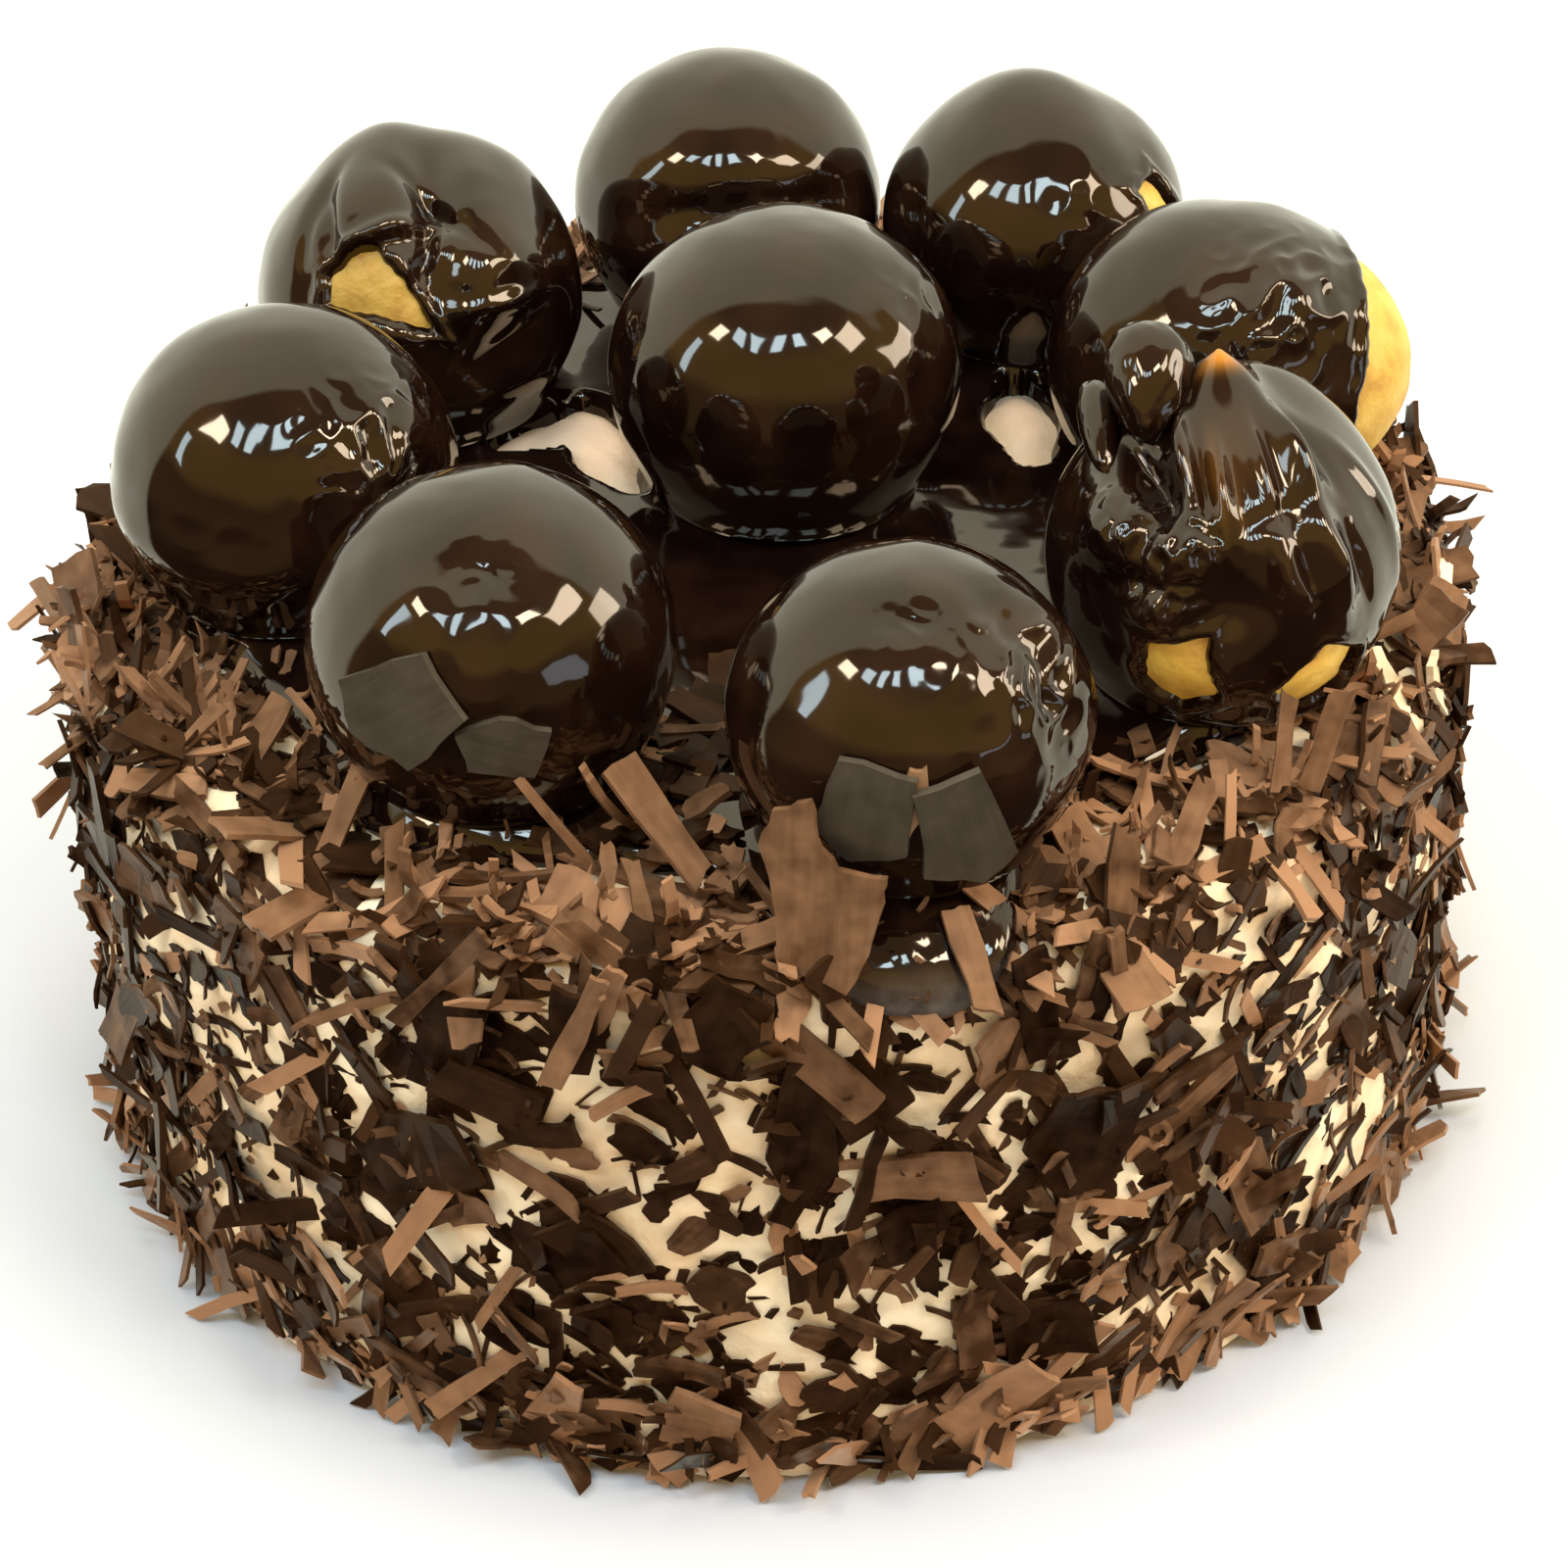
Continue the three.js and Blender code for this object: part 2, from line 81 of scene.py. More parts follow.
# %% [markdown]
# ## Numbers that repeat
# Sizes are written in millimetres, as a cook would measure them, and become metres only when a mesh
# is made. The flakes are scattered by chance, but by the same chance every time: this small draw
# gives the numbers that the CAD model used, so each large flake lies where its solid lies.

# %% A seeded draw and an even spread
MM = 0.001
PLASTIC_RATIO = 1.32471795724


def seeded_draw(seed):
    state = seed

    def draw():
        nonlocal state
        state = state * 48271 % 2147483647
        return state / 2147483647

    return draw


def between(low, high, draw):
    return low + (high - low) * draw()


def even_pair(index):
    step = 1 / PLASTIC_RATIO
    return (0.5 + index * step) % 1, (0.5 + index * step * step) % 1


print("first draw:", round(seeded_draw(4171)(), 4), "first even pair:", even_pair(0))

# %% [markdown]
# ## Short ways to add nodes
# Materials and Geometry Nodes are both trees of nodes. A few helpers keep the later cells short:
# one adds a node, one fills sockets with a plain value or with a link from another node, and the
# others add the kinds of node that almost every finish needs.


# %% Node helpers
def socket_named(sockets, name):
    return next(socket for socket in sockets if socket.enabled and socket.name == name)


def give(socket, value):
    if isinstance(value, bpy.types.NodeSocket):
        socket.id_data.links.new(value, socket)
    else:
        socket.default_value = value


def fill(node, inputs):
    for name, value in inputs.items():
        give(socket_named(node.inputs, name), value)


def add_node(tree, kind, inputs, output=None, **options):
    node = tree.nodes.new(kind)
    for option, value in options.items():
        setattr(node, option, value)
    fill(node, inputs)
    return socket_named(node.outputs, output) if output else node


def calculate(tree, operation, *values):
    node = add_node(tree, "ShaderNodeMath", {}, operation=operation)
    for socket, value in zip(node.inputs, values):
        give(socket, value)
    return node.outputs[0]


# %% Finish helpers
def new_finish(name):
    material = bpy.data.materials.new(name)
    material.use_nodes = True
    return material, material.node_tree, material.node_tree.nodes["Principled BSDF"]


def object_place(tree):
    return add_node(tree, "ShaderNodeTexCoord", {}, "Object")


def attribute_of(tree, name, output="Fac"):
    return add_node(tree, "ShaderNodeAttribute", {}, output, attribute_name=name)


def noise_at(tree, place, scale, detail=3):
    inputs = {"Vector": place, "Scale": scale, "Detail": detail}
    return add_node(tree, "ShaderNodeTexNoise", inputs, "Fac")


def colour_ramp(tree, factor, stops):
    ramp = add_node(tree, "ShaderNodeValToRGB", {"Fac": factor})
    elements = ramp.color_ramp.elements
    while len(elements) < len(stops):
        elements.new(0.5)
    for element, (position, colour) in zip(elements, stops):
        element.position = position
        element.color = (*colour, 1)
    return ramp.outputs["Color"]


def blend(tree, colour, other, factor):
    inputs = {"A": colour, "B": other, "Factor": factor}
    return add_node(tree, "ShaderNodeMix", inputs, "Result", data_type="RGBA")


def bump_of(tree, height, strength, depth_mm):
    inputs = {"Height": height, "Strength": strength, "Distance": depth_mm * MM}
    return add_node(tree, "ShaderNodeBump", inputs, "Normal")


print("helpers ready")

# %% [markdown]
# ## From points to a piece
# Every shape below is worked out as an array of points in millimetres. These helpers make the mesh,
# smooth it, give it a finish, and tell the frame which CAD node the piece stands for. Noise, soft
# bells and soft steps are the tools that turn a plain shape into something made by hand.


# %% Mesh and piece helpers
def make_mesh(name, points, faces, finish, smooth=True):
    mesh = bpy.data.meshes.new(name)
    mesh.from_pydata((np.asarray(points) * MM).tolist(), [], faces)
    mesh.polygons.foreach_set("use_smooth", [smooth] * len(mesh.polygons))
    mesh.materials.append(finish)
    return mesh


def keep_values(mesh, name, values):
    layer = mesh.attributes.new(name, "FLOAT", "POINT")
    layer.data.foreach_set("value", np.asarray(values, np.float32))


def place_piece(mesh, node):
    piece = bpy.data.objects.new(mesh.name, mesh)
    bpy.context.scene.collection.objects.link(piece)
    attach(piece, "root")
    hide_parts(node)
    mesh.calc_loop_triangles()
    print(f"{piece.name}: {len(mesh.loop_triangles)} triangles")
    return piece


def uneven(points, lump, octaves=2):
    """Smooth noise, about -1 to 1, with lumps of that size in millimetres."""
    return np.array([noise.fractal(point, 1.0, 2.0, octaves) for point in (points / lump).tolist()])


def bell(distance, width):
    return np.exp(-((distance / width) ** 2))


def flat_bell(distance, width):
    return np.exp(-((distance / width) ** 4))


def soft_step(low, high, value):
    share = np.clip((value - low) / (high - low), 0, 1)
    return share * share * (3 - 2 * share)


# %% [markdown]
# ## The cream
# The cake is a plain turned shape with a rounded rim. A point on it is found by walking ALONG the
# surface from the middle of the top, over the rim and down the side, which makes it easy to say
# where glaze or flakes begin. The spread cream itself is never quite smooth, so noise of two sizes
# lifts it a little: soft lumps as a palette knife leaves, and small peaks where flakes pull at it.

# %% The cake's surface
CAKE_RADIUS, CAKE_HEIGHT, RIM_ROUND, FOOT_ROUND, CREAM_WAVE = 101, 90, 9, 2, 0.5
FLAT_TOP = CAKE_RADIUS - RIM_ROUND
RIM_END = FLAT_TOP + RIM_ROUND * math.pi / 2
FOOT_ALONG = RIM_END + CAKE_HEIGHT - RIM_ROUND
UP = np.array([0.0, 0.0, 1.0])


def cake_surface(along, angle):
    """Points, outward and climbing directions at distances ALONG and angles in radians."""
    along, angle = np.broadcast_arrays(np.asarray(along, float), np.asarray(angle, float))
    bend = np.clip((along - FLAT_TOP) / RIM_ROUND, 0, math.pi / 2)[..., None]
    drop = np.maximum(along - RIM_END, 0)[..., None]
    out = np.stack([np.cos(angle), np.sin(angle), np.zeros_like(angle)], -1)
    radius = np.minimum(along, FLAT_TOP)[..., None] + RIM_ROUND * np.sin(bend)
    height = CAKE_HEIGHT - RIM_ROUND + RIM_ROUND * np.cos(bend) - drop
    normal = out * np.sin(bend) + UP * np.cos(bend)
    return out * radius + UP * height, normal, UP * np.sin(bend) - out * np.cos(bend)


def ring_faces(rings, sides):
    """Faces between rings of points, closed at both ends by the last two points."""
    faces, top, bottom = [], rings * sides, rings * sides + 1
    for side in range(sides):
        after = (side + 1) % sides
        faces.append((top, side, after))
        for ring in range(rings - 1):
            here, below = ring * sides, (ring + 1) * sides
            faces.append((here + side, below + side, below + after, here + after))
        faces.append((bottom, (rings - 1) * sides + after, (rings - 1) * sides + side))
    return faces


print("distance along the surface to the foot:", round(FOOT_ALONG, 1), "mm")

# %% Cream finish
CREAM_LIGHT, CREAM_DEEP = (0.97, 0.80, 0.535), (0.86, 0.61, 0.35)
# The peach tint in the bare patches is painted bounce light from the chocolate round them.
CREAM_PAINTED_BOUNCE, CREAM_SWIRLS, CREAM_GRAIN = (0.98, 0.69, 0.46, 1), 75, 900


def cream_finish():
    material, tree, shader = new_finish("cream")
    place = object_place(tree)
    swirls = noise_at(tree, place, CREAM_SWIRLS)
    colour = colour_ramp(tree, swirls, [(0.36, CREAM_DEEP), (0.62, CREAM_LIGHT)])
    # Painted bounce light: the bare patches are tinted peach.
    bounce_tinted = blend(tree, colour, CREAM_PAINTED_BOUNCE, attribute_of(tree, "peach"))
    grain = bump_of(tree, noise_at(tree, place, CREAM_GRAIN, 1), 0.3, 0.5)
    fill(shader, {"Base Color": bounce_tinted, "Normal": grain, "Roughness": 0.55})
    return material


cream = cream_finish()
print("finish:", cream.name)

# %% Cream body
CREAM_SIDES, TOP_RINGS, SIDE_RINGS, FIRST_RING, FOOT_DRAWN_IN = 400, 30, 96, 4, 0.985
CREAM_LUMP, LUMP_SIZE, CREAM_PEAK, PEAK_SIZE, CREAM_SINK = 0.7, 9, 0.35, 3, 0.4
top_rings = np.linspace(FIRST_RING, FLAT_TOP, TOP_RINGS)
side_rings = np.linspace(FLAT_TOP + 1, FOOT_ALONG - FOOT_ROUND, SIDE_RINGS)
cream_along = np.concatenate([top_rings, side_rings])
cream_angle = np.arange(CREAM_SIDES) * 2 * math.pi / CREAM_SIDES
along_grid, angle_grid = np.meshgrid(cream_along, cream_angle, indexing="ij")
cream_points, cream_normals, _ = cake_surface(along_grid, angle_grid)
height_grid = cream_points[..., 2]
wave = np.sin(3 * angle_grid + height_grid / 17) + 0.7 * np.sin(7 * angle_grid - height_grid / 11)
swell = np.where(along_grid > RIM_END - 1, CREAM_WAVE * wave / CAKE_RADIUS, 0)
cream_points[..., :2] *= (1 + swell)[..., None]
cream_flat = cream_points.reshape(-1, 3)
relief = CREAM_LUMP * uneven(cream_flat, LUMP_SIZE) + CREAM_PEAK * uneven(cream_flat, PEAK_SIZE)
cream_points += cream_normals * (relief.reshape(along_grid.shape) - CREAM_SINK)[..., None]
cream_flat = cream_points.reshape(-1, 3)
foot_ring = cream_points[-1] * [FOOT_DRAWN_IN, FOOT_DRAWN_IN, 0]
cream_ends = [[0, 0, CAKE_HEIGHT - CREAM_SINK], [0, 0, 0]]
cream_all = np.concatenate([cream_flat, foot_ring, cream_ends])
cream_mesh = make_mesh("cream", cream_all, ring_faces(len(cream_along) + 1, CREAM_SIDES), cream)
place_piece(cream_mesh, "cake")

# %% [markdown]
# ## The chocolate of the flakes
# Shaved chocolate has two faces: the one that the knife left is pale and dull, and the other is
# dark and smooth. Each flake gets a tone between the two, kept on its mesh as an attribute, and
# fine lines along its length, as a blade leaves them. The lines are noise stretched in the flake's
# own coordinates, which are also kept on the mesh, so they turn with the flake.

# %% Flake finish
SHAVED_TONES = (0.009, 0.003, 0.001), (0.052, 0.0225, 0.009), (0.35, 0.180, 0.090)
SATIN_TONES = (0.014, 0.010, 0.006), (0.062, 0.049, 0.033), (0.29, 0.150, 0.070)
CHOCOLATE_SHEEN, WARM_SHEEN = (1, 0.84, 0.66, 1), (1, 0.6, 0.34, 1)
TONE_STOPS, TONE_SHIFT, TONE_SCALE = (0.12, 0.45, 0.85), 0.11, 0.68
BLADE_LINES, LINE_SHARE, CLOUD_SCALE, CLOUD_SHARE = (60, 800, 1), 0.2, 230, 0.5


def flake_finish(name, tones, sheen, roughness, gloss):
    material, tree, shader = new_finish(name)
    grain = attribute_of(tree, "grain", "Vector")
    blade = add_node(tree, "ShaderNodeMapping", {"Vector": grain, "Scale": BLADE_LINES}, "Vector")
    lines = noise_at(tree, blade, 1, 2)
    clouds = noise_at(tree, object_place(tree), CLOUD_SCALE, 2)
    tone = calculate(tree, "SUBTRACT", attribute_of(tree, "tone"), TONE_SHIFT)
    cloudy = calculate(tree, "MULTIPLY_ADD", clouds, CLOUD_SHARE, tone)
    lined = calculate(tree, "MULTIPLY_ADD", lines, LINE_SHARE, cloudy)
    shade = calculate(tree, "MULTIPLY", lined, TONE_SCALE)
    colour = colour_ramp(tree, shade, list(zip(TONE_STOPS, tones)))
    fill(shader, {"Base Color": colour, "Normal": bump_of(tree, lines, 0.25, 0.4),
                  "Roughness": roughness, "Specular IOR Level": gloss, "Specular Tint": sheen})
    return material


shaved_chocolate = flake_finish("shaved_chocolate", SHAVED_TONES, WARM_SHEEN,
                                roughness=0.42, gloss=0.16)
satin_chocolate = flake_finish("satin_chocolate", SATIN_TONES, CHOCOLATE_SHEEN,
                               roughness=0.32, gloss=0.7)
print("finishes so far:", cream.name, shaved_chocolate.name, satin_chocolate.name)

# %% [markdown]
# ## One flake
# A flake starts as a handful of corners. Its edges are broken by a few points pushed in or out, the
# plate is cut across so that it can curl and twist, and then it gets a thickness. Building the two
# skins and the wall by hand keeps each flake closed and at a few dozen faces, for there will be
# thousands.

# %% Cutting one flake
CORNER_SHIFT, CORNER_TRIM = 0.3, 0.56


def flake_corners(long, wide, corners, draw):
    outline = []
    for corner in range(corners):
        turn = 2 * math.pi * (corner + 0.5 + CORNER_SHIFT * (draw() - 0.5)) / corners
        trim = 1 + CORNER_TRIM * draw()
        x, y = (max(-1, min(1, trim * part)) for part in (math.cos(turn), math.sin(turn)))
        outline.append((x * long / 2, y * wide / 2))
    return outline


def broken_edges(corners, draw, steps, depth):
    outline = []
    for (x0, y0), (x1, y1) in zip(corners, corners[1:] + corners[:1]):
        dx, dy = x1 - x0, y1 - y0
        length = math.hypot(dx, dy) or 1
        for step in range(steps + 1):
            share = (step + (0.5 * (draw() - 0.5) if step else 0)) / (steps + 1)
            push = depth * (2 * draw() - 1) / length if step else 0
            outline.append((x0 + share * dx + push * dy, y0 + share * dy - push * dx))
    return outline


def flake_shape(outline, thick, curl, cuts, twist=0.0, bed=0.3):
    """Points and faces of a thin plate, its ends lifted by CURL and turned by TWIST."""
    plate = bmesh.new()
    plate.faces.new([plate.verts.new((x, y, 0)) for x, y in outline])
    low, high = min(x for x, _ in outline), max(x for x, _ in outline)
    for cut in range(1, cuts + 1):
        middle = low + (high - low) * cut / (cuts + 1)
        bmesh.ops.bisect_plane(plate, geom=plate.verts[:] + plate.edges[:] + plate.faces[:],
                               plane_co=(middle, 0, 0), plane_no=(1, 0, 0))
    plate.verts.index_update()
    flat = np.array([vert.co for vert in plate.verts])
    count = len(flat)
    lids = [[vert.index for vert in face.verts] for face in plate.faces]
    rims = [(edge.link_loops[0].vert.index, edge.link_loops[0].link_loop_next.vert.index)
            for edge in plate.edges if edge.is_boundary]
    plate.free()
    share = (2 * flat[:, 0] - low - high) / (high - low)
    flat[:, 2] = curl * share ** 2 + twist * share * flat[:, 1] - bed
    faces = [[corner + count for corner in lid] for lid in lids] + [lid[::-1] for lid in lids]
    faces += [(a, b, b + count, a + count) for a, b in rims]
    return np.concatenate([flat, flat + [0, 0, thick]]), faces


sample = flake_shape(flake_corners(16, 9, 4, seeded_draw(5)), 1, 0.6, 2)
print("one flake:", len(sample[0]), "points,", len(sample[1]), "faces")

# %% Heaps of flakes
def new_heap():
    return {"points": [], "faces": [], "grain": [], "tone": [], "count": 0}


def lay_flake(heap, shape, place, tone):
    points, faces = shape
    heap["points"].append(points @ np.array(place.to_3x3()).T + np.array(place.translation))
    heap["faces"] += [[corner + heap["count"] for corner in face] for face in faces]
    heap["grain"].append(points * MM + [0, 0.01 * len(heap["tone"]), 0])
    heap["tone"].append(np.full(len(points), tone))
    heap["count"] += len(points)


def keep_grain(mesh, grain):
    layer = mesh.attributes.new("grain", "FLOAT_VECTOR", "POINT")
    layer.data.foreach_set("vector", np.asarray(grain, np.float32).ravel())


def heap_mesh(name, heap, finish=shaved_chocolate):
    mesh = make_mesh(name, np.concatenate(heap["points"]), heap["faces"], finish, smooth=False)
    keep_grain(mesh, np.concatenate(heap["grain"]))
    keep_values(mesh, "tone", np.concatenate(heap["tone"]))
    return mesh


def resting_place(point, normal, climb, spin, lift):
    """The place of a flake that lies on a surface, turned by SPIN, with its +X end lifted off."""
    normal, climb = Vector(normal), Vector(climb)
    basis = Matrix((climb.cross(normal), climb, normal)).transposed()
    spun = basis @ Matrix.Rotation(math.radians(spin), 3, "Z")
    place = (spun @ Matrix.Rotation(-math.radians(lift), 3, "Y")).to_4x4()
    place.translation = Vector(point)
    return place


# %% [markdown]
# ## The buns' shapes
# A profiterole is a flattened ball, but no two are alike: glaze runs in folds, skins wrinkle, and
# some choux stays bare. Each bun is described by marks that face out at an azimuth and an elevation
# (degrees, the front is -90). Folds repeat the CAD model's swellings and hollows, pleats are finer
# folds of the coat, wrinkles crumple it, tips draw it up to a peak and knobs are lumps beside it.
# Bare patches are outlines without glaze, thin spots let the choux glow through, and flakes and
# slivers are plates of chocolate that stick to the bun.

# %% The nine buns
BUNS = {
    "back": {
        "spot": (-4, 67.6, 23.5),
        "folds": [(-81, 24, 0, 60, 9, -1.8), (-81, 6, 0, 60, 10, 0.8)],
        "wrinkles": [(-81, 12, 26, 0.3, 5)],
    },
    "back_right": {
        "spot": (42.8, 58.3, 23.1),
        "folds": [(100, 78, 0, 22, 22, 1.6), (-10, 48, 30, 40, 16, -1)],
        "wrinkles": [(-75, 35, 18, 0.25, 5)],
        "bare": [[(-37, 31), (-24, 32), (-20, 15), (-33, 13)]],
    },
    "back_left": {
        "spot": (-50.2, 40, 24.2),
        # Its bare choux is darkened: painted shade under the overhanging fold.
        "paleness": 0.68,
        "folds": [(-74, 54, 80, 44, 10, -4.8), (-136, 52, 60, 34, 22, 1.6),
            (-52, 36, 0, 24, 18, 1.8), (112, 62, 0, 24, 20, 2.6), (32, 46, 0, 22, 18, 1.3),
            (-52, 2, 12, 24, 12, -3.4)],
        "pleats": [(-108, 51, 37, 22, 4, 1.9), (-113, 45, 37, 20, 4, -1.6),
            (-73, 47, 70, 9, 4, 1.8), (-138, 50, 135, 16, 4, -1.6), (-152, 50, 125, 18, 4, -1.1),
            (-62, 64, 108, 20, 4, -1.7), (-54, 21, -6, 20, 4, 1.2), (-84, 40, 62, 14, 3, -1.2)],
        "wrinkles": [(-58, 30, 14, 0.35, 5)],
        "bare": [[(-119, 42), (-107, 46), (-98, 40), (-82, 17), (-124, 23), (-125, 32)]],
    },
    "right": {
        "spot": (66.5, 16.2, 24.1),
        "folds": [(-8, 0, 90, 46, 34, 6), (-58, 48, 0, 26, 16, 0.9)],
        "wrinkles": [(-58, 45, 23, 1.2, 4.4)],
        "bare": [[(2, 40), (-22, 32), (-34, 18), (-42, 4), (-40, -42), (52, -42), (52, 24)]],
    },
    "left": {
        "spot": (-67.3, -8.2, 24.6),
        "folds": [(-36, 30, 60, 22, 12, 1), (-108, -6, 0, 70, 9, 1)],
        "wrinkles": [(-42, 32, 21, 0.8, 4), (-108, -4, 24, 0.12, 6)],
    },
    "centre": {
        "spot": (3.9, 13.9, 25.6),
        "folds": [(90, 88, 0, 40, 40, -1.1), (0, 26, 90, 28, 20, 0.8)],
        "wrinkles": [(-20, 36, 14, 0.25, 4)],
    },
    "front_left": {
        "spot": (-36.6, -52.9, 25.2),
        "folds": [(-91, 59, 0, 12, 10, -1.4), (-91, 36, 0, 34, 14, 0.7)],
        "wrinkles": [(-91, 57, 10, 0.35, 3.4), (-95, 30, 20, 0.25, 6)],
        "flakes": [(-117, 11, 40, 17, 15), (-86, 2, -20, 12, 9)],
    },
    "front": {
        "spot": (19.1, -71.2, 24.4),
        "folds": [(-91, 68, 0, 14, 8, -1.2), (-30, 38, 80, 30, 8, -1.6),
            (-10, 30, 90, 34, 16, 1.2)],
        "wrinkles": [(-32, 34, 22, 0.9, 4.2), (-88, 66, 10, 0.3, 3.6)],
        "flakes": [(-105, 3, 80, 15, 13), (-76, -5, 105, 19, 13)],
        "slivers": [(-90, 8, 82, 11, 3)],
    },
    "front_right": {
        "spot": (63.7, -34.6, 24.6),
        # Its bare choux is made paler: painted light.
        "paleness": 1.3,
        "knobs": [(154, 65, 27.2, 6, 9, (86, 29)), (168, 47, 25.5, 2.8, 8.4, (92, 15))],
        "folds": [(100, 78, 90, 14, 12, 4.4), (-140, 52, 157, 22, 8, -3.4),
            (-130, 64, 135, 18, 7, 1.2), (-140, 33, 0, 15, 14, 2.8), (-110, 34, 0, 12, 12, 2.2),
            (-92, 14, 90, 16, 13, -3), (-45, 62, 70, 24, 8, 1.8), (-60, 24, 92, 20, 13, 1.8),
            (50, 50, 0, 26, 18, 2)],
        "tips": [(98, 79, 2.6, 5)],
        "pleats": [(-138, 51, 157, 20, 4, -1.8), (-108, 56, 112, 20, 3, -1.7),
            (-165, 68, 150, 12, 5, -2), (-140, 68, 140, 14, 3, 1.4), (-42, 64, 68, 18, 3, 1.6),
            (-30, 60, 75, 18, 4, -0.9), (-98, 58, 100, 14, 2.2, 1.1), (-88, 55, 95, 14, 2.5, -0.7),
            (-70, 62, 84, 16, 2.4, 1.2), (-62, 60, 80, 16, 2.8, -1), (-72, 44, 10, 14, 4, -0.7),
            (-124, 36, 85, 12, 3, -1.7), (-126, 20, 8, 20, 4, -0.8), (-116, 12, 30, 9, 6, 1.6),
            (98, 79, 0, 13, 11, -0.6), (74, 60, 0, 14, 10, 1.2), (-74, 27, 95, 14, 3.5, 1.3),
            (-64, 22, 95, 16, 3, -1.5), (-54, 24, 95, 16, 3.5, 1.4), (-43, 22, 95, 14, 3.5, -1.3),
            (-16, 30, 85, 24, 4, 0.8)],
        "wrinkles": [(-112, 31, 14, 1.0, 2.8), (-136, 34, 15, 0.5, 2.6), (-116, 12, 9, 0.8, 2.4),
            (-58, 24, 18, 0.4, 4.5)],
        "thin": [(98, 80, 0, 4.5, 3, 1), (-104, 62, 105, 12, 1.4, 0.09),
            (-97, 50, 100, 10, 1.2, 0.09), (-88, 50, 95, 9, 1.2, 0.07),
            (-95, 66, 95, 16, 12, 0.045)],
        "bare": [[(-120, -2), (-100, 2), (-97, -22), (-109, -28), (-121, -17)],
            [(-75, -19), (-60, -4), (-46, -11), (-40, -37), (-65, -44)]],
    },
}
BUN_HEIGHT, BUN_FOOT, KNOB_FLARE, GAP = 0.96, 0.84, 0.25, 0.3
print("buns:", ", ".join(BUNS))


# %% Marks on a ball
FOLD_FADE, LEAST_AHEAD, FAR_OFF = 0.35, 0.05, 1e3


def ball_facing(azimuth, elevation):
    turn, tip = math.radians(azimuth), math.radians(elevation)
    level, flat = np.array([-math.sin(turn), math.cos(turn), 0]), math.cos(tip)
    normal = np.array([flat * math.cos(turn), flat * math.sin(turn), math.sin(tip)])
    return normal, level, np.cross(normal, level)


def turned_by(degrees, x, y):
    cosine, sine = math.cos(math.radians(degrees)), math.sin(math.radians(degrees))
    return x * cosine + y * sine, y * cosine - x * sine


def fold_rise(directions, azimuth, elevation, heading, long, wide, rise):
    normal, level, climb = ball_facing(azimuth, elevation)
    across = np.degrees(np.arcsin(np.clip(directions @ level, -1, 1)))
    above = np.degrees(np.arcsin(np.clip(directions @ climb, -1, 1)))
    ahead, aside = turned_by(heading, across, above)
    shape = bell(ahead, long) * bell(aside, wide)
    return rise * shape * soft_step(0, FOLD_FADE, directions @ normal)


def marks_rise(bun, kind, directions):
    """The rise of all the marks of one kind on a bun together."""
    rises = (fold_rise(directions, *mark) for mark in bun.get(kind, []))
    return sum(rises, np.zeros(len(directions)))


def degrees_from(directions, azimuth, elevation):
    return np.degrees(np.arccos(np.clip(directions @ ball_facing(azimuth, elevation)[0], -1, 1)))


def bun_centre(bun):
    x, y, radius = bun["spot"]
    return np.array([x, y, CAKE_HEIGHT + GAP + BUN_FOOT * radius])


def bun_reach(bun, directions):
    """How far a bun's skin is from its centre in each direction, as in the CAD model."""
    radius = bun["spot"][2]
    level = np.hypot(directions[:, 0], directions[:, 1]) / radius
    reach = 1 / np.hypot(level, directions[:, 2] / (radius * BUN_HEIGHT))
    return reach + marks_rise(bun, "folds", directions)


def depth_inside(directions, corners, radius):
    """Millimetres inside (or, below zero, outside) an outline drawn on the ball."""
    facing = np.array([ball_facing(*corner)[0] for corner in corners])
    middle = facing.mean(0) / np.linalg.norm(facing.mean(0))
    level = np.cross(UP, middle) / np.linalg.norm(np.cross(UP, middle))
    axes = np.stack([level, np.cross(middle, level)], 1)
    ahead = np.maximum(directions @ middle, LEAST_AHEAD)
    flat = radius * (directions @ axes) / ahead[:, None]
    outline = radius * (facing @ axes) / (facing @ middle)[:, None]
    edges = np.roll(outline, -1, 0) - outline
    turning = np.sign(np.cross(edges, np.roll(edges, -1, 0)).sum())
    depth = np.full(len(flat), FAR_OFF)
    for start, edge in zip(outline, edges):
        inward = turning * np.array([-edge[1], edge[0]]) / np.linalg.norm(edge)
        depth = np.minimum(depth, (flat - start) @ inward)
    return np.where(directions @ middle > LEAST_AHEAD, depth, -FAR_OFF)


print("the front faces", ball_facing(-90, 0)[0].round(3).tolist())


# %% [markdown]
# ## The glaze pool
# Warm glaze was poured over the top: it lies level between the buns, climbs a little where it wets
# them, leaves the cream bare in two places and runs over the rim at the front in one fat tongue.
# The pool is a sheet of rings that follows the cake's surface. Its height over the cream does the
# rest: below zero the sheet dips into the cream, and so it ends in a soft rounded edge.

# %% Glaze finish
GLAZE_DEEP, GLAZE_BROWN = (0.006, 0.0022, 0.0012), (0.014, 0.0055, 0.003)
# The grey mixed into the dull tongue's colour is a painted sheen of the room; its higher roughness
# is real.
GLAZE_PAINTED_SHEEN, GLAZE_IOR, GLAZE_ROUGH, DULL_ROUGH = (0.09, 0.074, 0.062, 1), 1.6, 0.06, 0.4
GLAZE_CLOUDS, GLAZE_SPECKS, GLAZE_RIPPLES = 120, 420, 160


